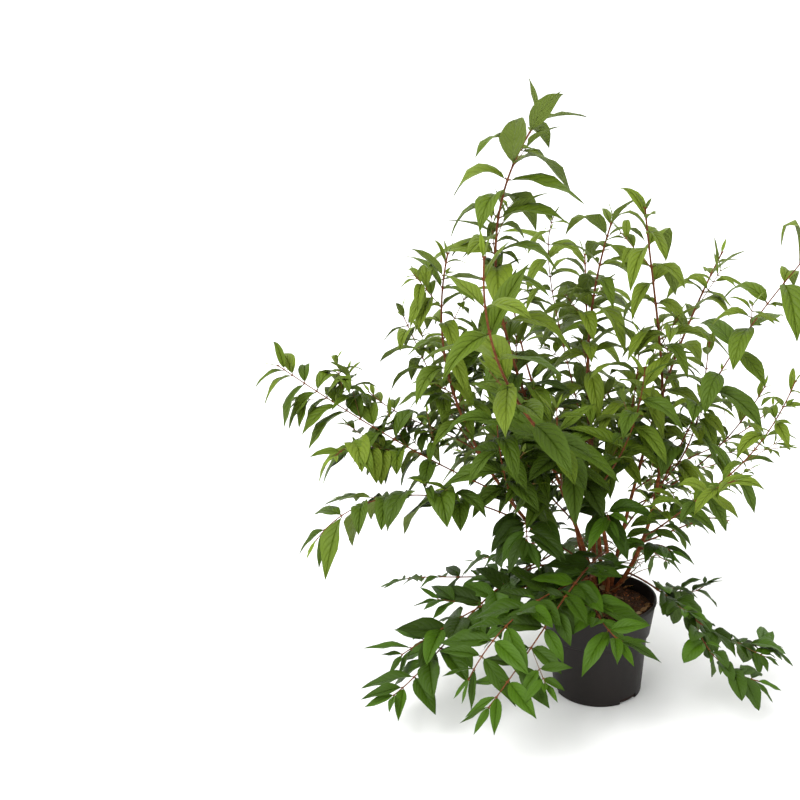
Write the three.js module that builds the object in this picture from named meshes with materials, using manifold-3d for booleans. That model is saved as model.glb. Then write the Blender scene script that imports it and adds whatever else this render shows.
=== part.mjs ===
// A many-stemmed deciduous shrub in a black plastic nursery pot.
// Units are millimetres. +Z is up, and -Y is the front. The origin is the centre of the pot's underside.
// Canes rise from the soil and stay bare at the foot. Each one ends where its foliage begins, and side
// shoots leave the canes, so every mass of foliage is one stem with its twigs and its opposite leaves.

import * as THREE from 'three'
import { mergeVertices } from 'three/addons/utils/BufferGeometryUtils.js'
import Module from 'manifold-3d'

const wasm = await Module()
wasm.setup()

// The clearance between pieces, and how finely fused pieces are kept
const GAP = 0.3
const FINEST_DETAIL = 0.1
const SAME_POINT = 0.001
const ROUNDINGS = [0.001, 0.0001]
const THINNEST_FACE = 0.002
const NUDGE = 0.08
const MOST_NUDGES = 16

// Driving dimensions of the pot and its soil
const POT_HEIGHT = 162
const POT_SIDES = 48
const POT_WALL = 1.8
const FLOOR_THICKNESS = 3
const BASE_RADIUS = 71.3
const BASE_CHAMFER = 2
const BODY_TOP_RADIUS = 80.5
const COLLAR_FOOT_RADIUS = 85
const COLLAR_TOP_RADIUS = 93.6
const RIM_RADIUS = 95
const COLLAR_HEIGHT = 59
const COLLAR_STEP = 3
const RIM_BAND = 5
const NOTCH = { width: 35, height: 10, depth: 12, first: -45, count: 3 }
const SOIL_LEVEL = 145
const SOIL_EDGE_DROP = 2.5
const SOIL_CROWN_RADIUS = 74

// Driving dimensions of the wood
const HANDLE_SHARE = 0.36
const CANE = { foot: 3.5, tip: 1, flare: 0.35, flareHeight: 26, sides: 6, step: 34 }
const SIDE_SHOOT = { share: 0.62, most: 2.6, tip: 0.9, sides: 3, step: 58 }
const TWIG = { share: 0.6, most: 1.5, tip: 0.8, sides: 3, step: 40 }

// Driving dimensions of the foliage, counted in pairs of leaves from a shoot's tip downwards
const INTERNODE_SHARE = 0.66
const TIP_INTERNODE_SHARE = 0.26
const INTERNODE_GROWTH = 0.2
const TIP_LEAF_SHARE = 0.42
const LEVEL_TIP_GAIN = 0.3
const LEAF_GROWTH = 0.17
const TIP_SPREAD = 26
const SPREAD_GROWTH = 9
const FULL_SPREAD = 62
const TIP_DROOP = 0.1
const DROOP_GROWTH = 0.26
const FULL_DROOP = 1.2
const LEVEL_DROOP_LOSS = 0.3
const FIRST_HALF_SAG = 0.3
const LEAF_GAIN = 1.14
const SLIM = 0.42
const BROADER_WHEN_LEVEL = 0.12
const WIDEST_AT = 0.42
const LEAF_THICKNESS = 0.022
const UPPER_LEAN = 0.35
const CLEAR_STEM = 26
const LEAST_HEIGHT = 7
const OUTER_PART_FROM = 0.14
const ROOT_INSET = 0.2
const ROOT_SWELL = 4
const FIRST_PAIR_AT = 3
const POT_CLEARANCE = 4
const TWIG_CHANCE = 0.04
const TWIG_FROM_PAIR = 3
const TWIG_TILT = 46
const TWIG_LENGTH = { least: 42, extra: 42 }
const TWIG_LIFT = 0.12
const TWIG_LEAF_SHARE = 0.66

// How far leaves vary, each way: turns in radians, spread in degrees, the rest as shares
const SWING = { turn: 0.2, size: 0.12, spread: 8, droop: 0.35, roll: 0.4, internode: 0.1 }

// The seeds of the dice
const FIRST_SHOOT_SEED = 101
const PAIR_SEEDS = 131
const TWIG_SEEDS = 1009

// The other ways that a leaf may grow where its own way is taken: around the stem, in radians, and in size
const LEAF_CHOICES = [
  { turn: 0, size: 1 },
  { turn: 0.4, size: 1 },
  { turn: -0.4, size: 1 },
  { turn: 0.2, size: 0.82 },
  { turn: -0.7, size: 0.82 },
  { turn: 0.7, size: 0.7 }
]
const DROOP_CHOICES = [1, 0.5, 0]

// Colours, as the daylight shows them
const COLOURS = {
  pot: { color: 0x2c2828, roughness: 0.62 },
  soil: { color: 0x3b2a20, roughness: 0.97 },
  wood: { color: 0x7d5240, roughness: 0.82 },
  leaf: { color: 0x5e7a2f, roughness: 0.6 },
  lowLeaf: { color: 0x466a29, roughness: 0.6 },
  youngLeaf: { color: 0x7d9a42, roughness: 0.58 }
}

// The canes: where a cane leaves the soil, in x and y, the way it leans, in degrees from +X, how far it
// reaches and rises to its tip, how its foot and its tip lean from upright towards the bearing, how far it
// bows sideways, the share of it below its own foliage, and the length of its leaves.
const CANES = {
  front: [17, 45, -114, 380, 620, -10, -10, 0, 0.31, 74],
  tall: [-2, 62, -139, 95, 785, 8, -40, -60, 0.31, 74],
  left: [-14, 52, -151, 230, 590, 38, -10, -50, 0.5, 66],
  mid: [9, 72, 47, 25, 620, 0, 24, 15, 0.33, 62],
  right: [27, 52, -66, 100, 645, 29, 36, 85, 0.33, 64],
  back_right: [22, 74, 39, 235, 540, 17, 34, 5, 0.32, 62],
  back_mid: [-4, 80, 94, 250, 525, 5, 25, 0, 0.3, 66],
  back_left: [-18, 72, 124, 240, 495, 10, 10, 0, 0.32, 66]
}

// The side shoots: the limb that a shoot leaves, how far along it, and then the same figures as a cane's.
// A shoot with a bare share is a bough of its own up to there, and its foliage follows.
const SHOOTS = {
  slender: ['mid', 0.27, 121, 130, 440, 33, -52, -30, 0, 54],
  left_back: ['left', 0.44, 158, 150, 245, 44, 27, 0, 0, 54],
  left_wisp: ['left', 0.48, 167, 190, 90, 60, 46, -5, 0, 42],
  left_long: ['left', 0.34, -168, 355, 240, 62, 52, 5, 0.22, 54],
  left_mid: ['left_long', 0.39, -133, 155, 30, 85, 105, -30, 0, 54],
  left_low: ['left', 0.23, -151, 365, 45, 52, 140, 5, 0.2, 72],
  far_right: ['right', 0.27, -37, 255, 435, 22, 41, 5, 0, 64],
  right_low: ['right', 0.22, -50, 275, 290, 58, 23, 5, 0, 52],
  right_thin: ['back_right', 0.23, -12, 210, 225, 56, 27, -25, 0, 52],
  right_fore: ['right', 0.18, -72, 325, 210, 59, 63, 0, 0, 52],
  right_wisp: ['right', 0.16, 40, 195, -10, 77, 125, -20, 0, 44],
  back_mid_side: ['back_mid', 0.25, 63, 275, 250, 40, 25, 0, 0, 62],
  back_left_low: ['back_left', 0.28, 151, 275, 180, 55, 40, 0, 0, 60],
  back_left_wisp: ['back_left', 0.19, 133, 315, 45, 60, 100, 0, 0, 58],
  back_right_low: ['back_right', 0.28, 30, 280, 110, 60, 50, 0, 0, 58],
  back_right_wisp: ['back_right', 0.16, 54, 315, 35, 55, 100, 0, 0, 56],
  front_side: ['front', 0.28, -27, 90, 220, 40, 5, 0, 0, 66],
  tall_side: ['tall', 0.28, -173, 55, 220, 45, 0, 0, 0, 70],
  tall_fore: ['tall', 0.22, -91, 155, 190, 50, 0, 0, 0, 74],
  mid_side: ['mid', 0.31, -35, 85, 255, 45, 0, 0, 0, 64],
  left_side: ['left', 0.3, -97, 135, 215, 50, 5, 0, 0, 72],
  right_side: ['right', 0.31, -17, 75, 240, 45, 5, 0, 0, 60],
  inner_left: ['left', 0.26, -85, 115, 10, 75, 115, 0, 0, 62],
  inner_fore: ['front', 0.19, -85, 135, 55, 70, 100, 0, 0, 66],
  inner_right: ['right', 0.14, -62, 95, 35, 60, 100, 0, 0, 46],
  skirt_wisp: ['left', 0.14, 172, 285, -80, 125, 120, 40, 0, 46],
  skirt_left: ['left', 0.06, -148, 315, -70, 80, 120, 20, 0, 60],
  skirt_far: ['left', 0.1, -137, 345, -120, 74, 100, -25, 0, 60],
  skirt_fore: ['front', 0.05, -124, 360, -40, 78, 140, 10, 0, 60],
  skirt_near: ['front', 0.1, -117, 370, -100, 76, 117, 20, 0, 60],
  apron: ['front', 0.07, -85, 215, -30, 60, 95, -50, 0, 62],
  skirt_right: ['right', 0.07, -5, 225, -110, 90, 95, -70, 0, 44],
  skirt_right_low: ['skirt_right', 0.47, -35, 115, -70, 105, 120, -50, 0, 48],
  skirt_right_top: ['skirt_right', 0.25, 55, 140, -35, 85, 65, 5, 0, 42],
  back_skirt_left: ['back_left', 0.07, 137, 285, -90, 65, 115, 0, 0, 58],
  back_skirt_mid: ['back_mid', 0.07, 101, 275, -110, 65, 115, 0, 0, 58],
  back_skirt_right: ['back_right', 0.07, 66, 255, -100, 60, 115, 0, 0, 50]
}

const UP = new THREE.Vector3(0, 0, 1)
const radians = THREE.MathUtils.degToRad

// Seeded dice: the same seed always gives the same row of numbers from 0 to 1
function dice(seed) {
  let state = seed >>> 0
  return () => {
    state = (state + 0x6d2b79f5) >>> 0
    let mixed = Math.imul(state ^ (state >>> 15), state | 1)
    mixed ^= mixed + Math.imul(mixed ^ (mixed >>> 7), mixed | 61)
    return ((mixed ^ (mixed >>> 14)) >>> 0) / 4294967296
  }
}

// A number thrown evenly from -most to most
const swing = (roll, most) => (roll() * 2 - 1) * most

// A closed mesh as an exact solid: only positions are kept, and the points that coincide are joined
function solidOf(geometry) {
  const bare = geometry.clone()
  bare.deleteAttribute('normal')
  bare.deleteAttribute('uv')
  const merged = mergeVertices(bare, SAME_POINT)
  const corners = []
  for (let i = 0; i < merged.index.count; i += 3) {
    const [a, b, c] = [0, 1, 2].map((k) => merged.index.getX(i + k))
    if (a !== b && b !== c && c !== a) corners.push(a, b, c)
  }
  const vertProperties = merged.attributes.position.array
  const triVerts = new Uint32Array(corners)
  return new wasm.Manifold(new wasm.Mesh({ numProp: 3, vertProperties, triVerts }))
}

// An exact solid back as a mesh geometry
function geometryOf(solid) {
  const mesh = solid.getMesh()
  const geometry = new THREE.BufferGeometry()
  geometry.setAttribute('position', new THREE.BufferAttribute(new Float32Array(mesh.vertProperties), 3))
  geometry.setIndex(new THREE.BufferAttribute(new Uint32Array(mesh.triVerts), 1))
  geometry.computeVertexNormals()
  return geometry
}

// The largest body of a solid: a loose scrap, or the skin of a hollow that fusing sealed, is dropped
function largestBody(solid) {
  return solid.decompose().reduce((largest, body) => (body.volume() > largest.volume() ? body : largest))
}

// Whether a solid is still closed once its points are rounded: each edge then joins just two faces
function staysClosed(solid, rounding) {
  const { vertProperties, triVerts } = solid.getMesh()
  const rounded = vertProperties.map((number) => Math.round(number / rounding))
  const keyOf = (corner) => rounded.slice(3 * corner, 3 * corner + 3).join()
  const edges = new Set()
  let doubled = false
  for (let i = 0; i < triVerts.length; i += 3) {
    const keys = [0, 1, 2].map((k) => keyOf(triVerts[i + k]))
    if (new Set(keys).size < 3) continue
    keys.forEach((key, k) => {
      const edge = `${key}>${keys[(k + 1) % 3]}`
      doubled = doubled || edges.has(edge)
      edges.add(edge)
    })
  }
  return !doubled && [...edges].every((edge) => edges.has(edge.split('>').reverse().join('>')))
}

// The height of a solid's thinnest face: its area twice over, divided by its longest side
function thinnestFace(solid) {
  const { vertProperties, triVerts } = solid.getMesh()
  const corner = (i) => new THREE.Vector3().fromArray(vertProperties, 3 * triVerts[i])
  let thinnest = Infinity
  for (let i = 0; i < triVerts.length; i += 3) {
    const [a, b, c] = [corner(i), corner(i + 1), corner(i + 2)]
    const longest = Math.max(a.distanceTo(b), b.distanceTo(c), c.distanceTo(a))
    thinnest = Math.min(thinnest, (2 * new THREE.Triangle(a, b, c).getArea()) / longest)
  }
  return thinnest
}

// Fused pieces as one body, settled to the numbers that a mesh geometry holds. Where it would be pinched
// or have a face like a hair, every piece but the first is nudged a little, and the best fusion is kept.
function fuse(pieces) {
  let best = { body: null, thinnest: 0 }
  for (let nudge = 0; nudge < MOST_NUDGES; nudge += 1) {
    const most = nudge === 0 ? 0 : NUDGE
    const moved = pieces.map((piece, index) => {
      const roll = dice(nudge * PAIR_SEEDS + index)
      const hair = [0, 1, 2].map(() => swing(roll, most))
      return index === 0 ? piece : piece.translate(hair)
    })
    const joined = largestBody(wasm.Manifold.union(moved).asOriginal().simplify(FINEST_DETAIL))
    const body = largestBody(solidOf(geometryOf(joined)))
    const closed = ROUNDINGS.every((rounding) => staysClosed(body, rounding))
    const thinnest = closed ? thinnestFace(body) : 0
    if (thinnest > best.thinnest) best = { body, thinnest }
    if (thinnest > THINNEST_FACE) break
  }
  return best.body
}

// The outer radius of the pot at a height above the ground
function potRadiusAt(height) {
  const collarFoot = POT_HEIGHT - COLLAR_HEIGHT
  const body = THREE.MathUtils.mapLinear(height, 0, collarFoot, BASE_RADIUS, BODY_TOP_RADIUS)
  const collar = THREE.MathUtils.mapLinear(height, collarFoot, POT_HEIGHT, COLLAR_FOOT_RADIUS, RIM_RADIUS)
  return height < collarFoot ? body : collar
}

// A turned solid from points of radius and height that start and end on the axis
function turned(profile) {
  const points = profile.map(([radius, height]) => new THREE.Vector2(radius, height))
  return solidOf(new THREE.LatheGeometry(points, POT_SIDES).rotateX(Math.PI / 2))
}

// The pot: a tapering body, a step out to the tall collar, a plain rim band and three notches in the foot
function makePot() {
  const collarFoot = POT_HEIGHT - COLLAR_HEIGHT
  let pot = turned([
    [0, 0],
    [BASE_RADIUS - BASE_CHAMFER, 0],
    [BASE_RADIUS, BASE_CHAMFER],
    [BODY_TOP_RADIUS, collarFoot],
    [COLLAR_FOOT_RADIUS, collarFoot + COLLAR_STEP],
    [COLLAR_TOP_RADIUS, POT_HEIGHT - RIM_BAND],
    [RIM_RADIUS, POT_HEIGHT - RIM_BAND],
    [RIM_RADIUS, POT_HEIGHT],
    [COLLAR_TOP_RADIUS - POT_WALL, POT_HEIGHT],
    [COLLAR_FOOT_RADIUS - POT_WALL, collarFoot + COLLAR_STEP],
    [BODY_TOP_RADIUS - POT_WALL, collarFoot],
    [BASE_RADIUS - POT_WALL, FLOOR_THICKNESS],
    [0, FLOOR_THICKNESS]
  ])
  for (let i = 0; i < NOTCH.count; i += 1) {
    const cutter = new THREE.BoxGeometry(2 * NOTCH.depth, NOTCH.width, 2 * NOTCH.height)
    cutter.translate(BASE_RADIUS, 0, 0)
    cutter.rotateZ(radians(NOTCH.first + (i * 360) / NOTCH.count))
    pot = pot.subtract(solidOf(cutter))
  }
  return pot
}

// The soil: it fills the pot a hair inside the wall, and its top falls a little towards the rim
function makeSoil() {
  const collarFoot = POT_HEIGHT - COLLAR_HEIGHT
  const inside = -POT_WALL - GAP
  const edge = SOIL_LEVEL - SOIL_EDGE_DROP
  const collarStart = collarFoot + COLLAR_STEP
  const edgeRadius = THREE.MathUtils.mapLinear(
    edge, collarStart, POT_HEIGHT, COLLAR_FOOT_RADIUS, COLLAR_TOP_RADIUS
  )
  return turned([
    [0, FLOOR_THICKNESS + GAP],
    [BASE_RADIUS + inside, FLOOR_THICKNESS + GAP],
    [BODY_TOP_RADIUS + inside, collarFoot],
    [COLLAR_FOOT_RADIUS + inside, collarStart],
    [edgeRadius + inside, edge],
    [SOIL_CROWN_RADIUS, SOIL_LEVEL],
    [0, SOIL_LEVEL]
  ])
}

// A shoot's centre line: one smooth curve from its start, by bearing, reach, rise, tilt and sway
function centreLine(start, plan) {
  const bearing = radians(plan.bearing)
  const side = new THREE.Vector3(-Math.sin(bearing), Math.cos(bearing), 0)
  const heading = (tilt) => {
    const lean = Math.sin(radians(tilt))
    return new THREE.Vector3(Math.cos(bearing) * lean, Math.sin(bearing) * lean, Math.cos(radians(tilt)))
  }
  const end = new THREE.Vector3(Math.cos(bearing) * plan.reach, Math.sin(bearing) * plan.reach, plan.rise)
  end.add(start)
  const handle = HANDLE_SHARE * start.distanceTo(end)
  const first = start.clone().addScaledVector(heading(plan.tilt[0]), handle).addScaledVector(side, plan.sway)
  const second = end.clone().addScaledVector(heading(plan.tilt[1]), -handle).addScaledVector(side, plan.sway)
  return { curve: new THREE.CubicBezierCurve3(start, first, second, end), side }
}

// The three directions that go with a place on a centre line: along it, sideways, and the bearing side
function directionsAt(line, share) {
  const along = line.curve.getTangentAt(share)
  const sideways = line.side.clone().addScaledVector(along, -line.side.dot(along)).normalize()
  const leaning = new THREE.Vector3().crossVectors(sideways, along)
  return { along, sideways, leaning }
}

// A tapering limb: a cylinder bent along a centre line, from one share of its length to another
function limb(line, from, to, radiusAt, { sides, step }, levelFoot = null) {
  const rings = Math.max(1, Math.round((line.curve.getLength() * (to - from)) / step))
  const geometry = new THREE.CylinderGeometry(1, 1, 1, sides, rings)
  const points = geometry.attributes.position
  for (let i = 0; i < points.count; i += 1) {
    const share = THREE.MathUtils.lerp(from, to, points.getY(i) + 0.5)
    const { along, sideways, leaning } = directionsAt(line, share)
    const radius = radiusAt(share)
    const place = line.curve.getPointAt(share)
    place.addScaledVector(sideways, points.getX(i) * radius)
    place.addScaledVector(leaning, points.getZ(i) * radius)
    if (levelFoot !== null && share === from) place.addScaledVector(along, (levelFoot - place.z) / along.z)
    points.setXYZ(i, place.x, place.y, place.z)
  }
  return solidOf(geometry)
}

// A leaf's pose: it leaves the stem outwards, and its outer half hangs more than its inner half
function leafPose(root, along, radial, shape) {
  const outward = along.clone().multiplyScalar(Math.cos(shape.spread))
  outward.addScaledVector(radial, Math.sin(shape.spread))
  const inner = outward.clone().addScaledVector(UP, -FIRST_HALF_SAG * shape.droop).normalize()
  const outer = outward.clone().addScaledVector(UP, -shape.droop).normalize()
  const upper = UP.clone().addScaledVector(along, UPPER_LEAN)
  upper.addScaledVector(inner, -upper.dot(inner)).normalize().applyAxisAngle(inner, shape.roll)
  return { root, inner, outer, upper, length: shape.length, width: shape.width }
}

// The leaf's five points, grown outwards by swell: root, tip, two margins and the keel under its midrib.
// The keel lies under both halves: its way is the mean of the two halves' own.
function leafPoints({ root, inner, outer, upper, length, width }, swell = 0) {
  const middle = root.clone().addScaledVector(inner, WIDEST_AT * length)
  const across = new THREE.Vector3().crossVectors(upper, inner)
  const above = new THREE.Vector3().crossVectors(outer, across).normalize().add(upper).normalize()
  const half = width / 2 + swell
  const outerLength = (1 - WIDEST_AT) * length + swell
  return {
    root: root.clone().addScaledVector(inner, -ROOT_SWELL * swell).addScaledVector(above, swell),
    tip: middle.clone().addScaledVector(outer, outerLength).addScaledVector(above, swell),
    left: middle.clone().addScaledVector(across, half).addScaledVector(above, swell),
    right: middle.clone().addScaledVector(across, -half).addScaledVector(above, swell),
    keel: middle.clone().addScaledVector(above, -LEAF_THICKNESS * length - swell)
  }
}

// A leaf of six faces: two above, bent over its widest line, and four that meet at the keel below
function leafSolid(pose, swell = 0) {
  const { root, tip, left, right, keel } = leafPoints(pose, swell)
  const faces = [0, 3, 2, 1, 2, 3, 0, 2, 4, 2, 1, 4, 1, 3, 4, 3, 0, 4]
  return solidOf(new THREE.BufferGeometry().setFromPoints([root, tip, left, right, keel]).setIndex(faces))
}

// Whether a leaf hangs clear of the ground and of the pot and its soil
function hangsFree(pose) {
  const { tip, left, right, keel } = leafPoints(pose)
  const between = [left, right].map((margin) => margin.clone().lerp(tip, 0.5))
  return [tip, left, right, keel, ...between].every((point) => {
    const reachesPot = point.z < POT_HEIGHT + POT_CLEARANCE
    const overPot = Math.hypot(point.x, point.y) < potRadiusAt(point.z) + POT_CLEARANCE
    return point.z > LEAST_HEIGHT && !(reachesPot && overPot)
  })
}

// The pairs of leaves along a stem, from its tip down: small and upright at the tip, full and arching below.
// On an upright stem each pair stands across the last. On a level stem all the pairs lie to its two sides.
function pairsAlong(line, from, leaf, seed) {
  const length = line.curve.getLength()
  const internode = INTERNODE_SHARE * leaf
  const twist = dice(seed)() * Math.PI
  const pairs = []
  let distance = FIRST_PAIR_AT
  for (let k = 0; distance < length * (1 - from) - CLEAR_STEM; k += 1) {
    const roll = dice(seed * PAIR_SEEDS + k)
    const share = 1 - distance / length
    const { along, sideways, leaning } = directionsAt(line, share)
    const level = 1 - along.z * along.z
    const turn = (1 - level) * (twist + (k % 2 ? 1 : -1) * (Math.PI / 4)) + swing(roll, SWING.turn)
    const tipShare = TIP_LEAF_SHARE + LEVEL_TIP_GAIN * level
    const size = LEAF_GAIN * leaf * Math.min(1, tipShare + LEAF_GROWTH * k)
    const leaves = [0, Math.PI].map((half) => {
      const around = turn + half
      const radial = sideways.clone().multiplyScalar(Math.cos(around))
      radial.addScaledVector(leaning, Math.sin(around))
      const leafLength = size * (1 + swing(roll, SWING.size))
      const spread = Math.min(FULL_SPREAD, TIP_SPREAD + SPREAD_GROWTH * k) + swing(roll, SWING.spread)
      const droop = Math.min(FULL_DROOP - LEVEL_DROOP_LOSS * level, TIP_DROOP + DROOP_GROWTH * k)
      return {
        radial,
        spread: radians(spread),
        droop: droop * (1 + swing(roll, SWING.droop)),
        roll: swing(roll, SWING.roll),
        length: leafLength,
        width: leafLength * (SLIM + BROADER_WHEN_LEVEL * level)
      }
    })
    const twig = { draw: roll(), side: roll() < 0.5 ? 0 : 1, lengthDraw: roll() }
    pairs.push({ k, share, along, leaves, twig })
    const tightening = Math.min(1, TIP_INTERNODE_SHARE + INTERNODE_GROWTH * (k + 1))
    distance += internode * tightening * (1 + swing(roll, SWING.internode))
  }
  return pairs
}

// A twig's centre line: it leaves the stem above a leaf and curls up a little
function twigLine(root, along, radial, length) {
  const tilt = radians(TWIG_TILT)
  const way = along.clone().multiplyScalar(Math.cos(tilt)).addScaledVector(radial, Math.sin(tilt))
  const end = root.clone().addScaledVector(way, length).addScaledVector(UP, TWIG_LIFT * length)
  const first = root.clone().addScaledVector(way, length / 3)
  const second = end.clone().addScaledVector(way, -length / 3).addScaledVector(UP, (-TWIG_LIFT / 2) * length)
  const side = new THREE.Vector3().crossVectors(UP, way).normalize()
  return { curve: new THREE.CubicBezierCurve3(root, first, second, end), side }
}

// Everything placed so far: a piece of another node may not touch it
const placed = []

const boxesMeet = (a, b) => [0, 1, 2].every((k) => a.min[k] < b.max[k] && b.min[k] < a.max[k])

// Whether a solid is clear of every piece of other nodes, and its outer part of the same node's leaves too
function isClear(owner, solid, outerPart = null) {
  const box = solid.boundingBox()
  return placed.every((other) => {
    if (!boxesMeet(box, other.box)) return true
    if (other.owner !== owner) return solid.intersect(other.solid).isEmpty()
    return outerPart === null || !other.isLeaf || outerPart.intersect(other.solid).isEmpty()
  })
}

function place(owner, solid, isLeaf = false) {
  placed.push({ owner, solid, isLeaf, box: solid.boundingBox() })
}

// The leaf in the first of its choices that is free, or null where none is
function growLeaf(owner, root, along, leaf) {
  for (const droopShare of DROOP_CHOICES) {
    for (const choice of LEAF_CHOICES) {
      const radial = leaf.radial.clone().applyAxisAngle(along, choice.turn)
      const length = leaf.length * choice.size
      const width = leaf.width * choice.size
      const pose = leafPose(root, along, radial, { ...leaf, length, width, droop: leaf.droop * droopShare })
      if (!hangsFree(pose)) continue
      const outerRoot = pose.root.clone().addScaledVector(pose.inner, OUTER_PART_FROM * length)
      const outerPart = leafSolid({ ...pose, root: outerRoot, length: length * (1 - OUTER_PART_FROM) })
      if (isClear(owner, leafSolid(pose, 2 * GAP), outerPart)) return leafSolid(pose)
    }
  }
  return null
}

// Stems are planned first, so that leaves can keep clear of every one of them
const stems = {}

function planOf([bearing, reach, rise, footTilt, tipTilt, sway, bare, leaf]) {
  return { bearing, reach, rise, tilt: [footTilt, tipTilt], sway, bare, leaf }
}

function planStem(name, plan, start, footRadius, seed) {
  const line = centreLine(start, plan)
  const tip = plan.on ? SIDE_SHOOT.tip : CANE.tip
  const length = line.curve.getLength()
  const radiusAt = (share) => {
    const flare = plan.on ? 0 : CANE.flare * Math.max(0, 1 - (share * length) / CANE.flareHeight)
    return THREE.MathUtils.lerp(footRadius, tip, share) * (1 + flare)
  }
  stems[name] = { name, plan, line, radiusAt, seed }
}

Object.entries(CANES).forEach(([name, [x, y, ...figures]], index) => {
  planStem(name, planOf(figures), new THREE.Vector3(x, y, SOIL_LEVEL + GAP), CANE.foot, index + 1)
})
Object.entries(SHOOTS).forEach(([name, [on, at, ...figures]], index) => {
  const parent = stems[on]
  const radius = Math.min(SIDE_SHOOT.most, SIDE_SHOOT.share * parent.radiusAt(at))
  const plan = { on, ...planOf(figures) }
  planStem(name, plan, parent.line.curve.getPointAt(at), radius, index + FIRST_SHOOT_SEED)
})

// The wood of each stem: a bare bough, where it has one, and the stalk of its foliage just past its end
function stretchesOf({ plan, line }) {
  const build = plan.on ? SIDE_SHOOT : CANE
  if (!plan.bare) return { stalk: { from: 0, to: 1, build } }
  const gapShare = GAP / line.curve.getLength()
  return {
    bough: { from: 0, to: plan.bare, build: { ...build, sides: CANE.sides } },
    stalk: { from: plan.bare + gapShare, to: 1, build: SIDE_SHOOT }
  }
}

// A stretch of a stem's wood, grown outwards by swell
function woodOf({ plan, line, radiusAt }, { from, to, build }, swell = 0) {
  const footLevel = !plan.on && from === 0 ? SOIL_LEVEL + GAP : null
  const outset = swell / Math.cos(Math.PI / build.sides)
  return limb(line, from, to, (share) => radiusAt(share) + outset, build, footLevel)
}

// A side shoot starts on its parent's axis and is cut clear of the parent's wood
function springingWood(stem, stretch) {
  const wood = woodOf(stem, stretch)
  if (!stem.plan.on || stretch.from > 0) return wood
  const parent = stems[stem.plan.on]
  const sleeves = Object.values(stretchesOf(parent)).map((part) => woodOf(parent, part, GAP))
  return fuse([wood.subtract(wasm.Manifold.union(sleeves))])
}

const boughs = {}
const stalks = {}
Object.values(stems).forEach((stem) => {
  const { bough, stalk } = stretchesOf(stem)
  if (bough) boughs[stem.name] = springingWood(stem, bough)
  stalks[stem.name] = springingWood(stem, stalk)
})

const pot = makePot()
const soil = makeSoil()
place('pot', pot)
place('soil', soil)
const meetings = []
Object.entries({ bough: boughs, foliage: stalks }).forEach(([kind, pieces]) => {
  Object.entries(pieces).forEach(([name, piece]) => {
    const owner = `${name}_${kind}`
    placed.filter((other) => !piece.intersect(other.solid).isEmpty()).forEach((other) => {
      meetings.push(`${owner} meets ${other.owner}`)
    })
    place(owner, piece)
  })
})
if (meetings.length > 0) throw new Error(meetings.join(', '))

// One mass of foliage: the stem, its pairs of leaves, and at some pairs a twig with small leaves of its own
function growFoliage({ name, plan, line, radiusAt, seed }) {
  const owner = `${name}_foliage`
  const pieces = [stalks[name]]
  const addPairs = (stemLine, from, leaf, pairSeed, stemRadiusAt) => {
    const pairs = pairsAlong(stemLine, from, leaf, pairSeed)
    pairs.forEach((pair) => {
      const root = stemLine.curve.getPointAt(pair.share)
      pair.leaves.forEach((shape) => {
        const inset = root.clone().addScaledVector(shape.radial, -ROOT_INSET * stemRadiusAt(pair.share))
        const solid = growLeaf(owner, inset, pair.along, shape)
        if (solid) {
          pieces.push(solid)
          place(owner, solid, true)
        }
      })
    })
    return pairs
  }
  const pairs = addPairs(line, plan.bare, plan.leaf, seed, radiusAt)
  pairs.filter((pair) => pair.k >= TWIG_FROM_PAIR && pair.twig.draw < TWIG_CHANCE).forEach((pair) => {
    const length = TWIG_LENGTH.least + TWIG_LENGTH.extra * pair.twig.lengthDraw
    const root = line.curve.getPointAt(pair.share)
    const twig = twigLine(root, pair.along, pair.leaves[pair.twig.side].radial, length)
    const foot = Math.min(TWIG.most, TWIG.share * radiusAt(pair.share))
    const twigRadiusAt = (share) => THREE.MathUtils.lerp(foot, TWIG.tip, share)
    const wood = limb(twig, 0, 1, twigRadiusAt, TWIG)
    if (!isClear(owner, limb(twig, 0, 1, (share) => twigRadiusAt(share) + 2 * GAP, TWIG))) return
    pieces.push(wood)
    place(owner, wood)
    const twigSeed = seed * TWIG_SEEDS + pair.k
    addPairs(twig, 0, plan.leaf * TWIG_LEAF_SHARE, twigSeed, twigRadiusAt)
  })
  return fuse(pieces)
}

// The scene graph
const shrub = new THREE.Group()

function addMesh(name, solid, look) {
  const mesh = new THREE.Mesh(geometryOf(solid), new THREE.MeshStandardMaterial({ ...look, metalness: 0 }))
  mesh.name = name
  shrub.add(mesh)
}

function foliageLook(name) {
  if (/skirt|apron|inner|low/.test(name)) return COLOURS.lowLeaf
  return CANES[name] ? COLOURS.youngLeaf : COLOURS.leaf
}

addMesh('pot', pot, COLOURS.pot)
addMesh('soil', soil, COLOURS.soil)
Object.entries(boughs).forEach(([name, wood]) => addMesh(`${name}_bough`, wood, COLOURS.wood))
Object.values(stems).forEach((stem) => {
  addMesh(`${stem.name}_foliage`, growFoliage(stem), foliageLook(stem.name))
})

export default shrub
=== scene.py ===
# %% [markdown]
# # A potted shrub with many canes
#
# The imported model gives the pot, the soil, the boughs and one plain solid for each mass of foliage.
# This lesson dresses it. The pot becomes a fine turned shell, the soil gets its crumbs, and the bark its
# nodes. Every mass of foliage is grown again by the same rule, with finer twigs and with leaves that
# have a real outline. All the growing is done in millimetres, and a mesh is made in metres at the end.

import itertools

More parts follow.
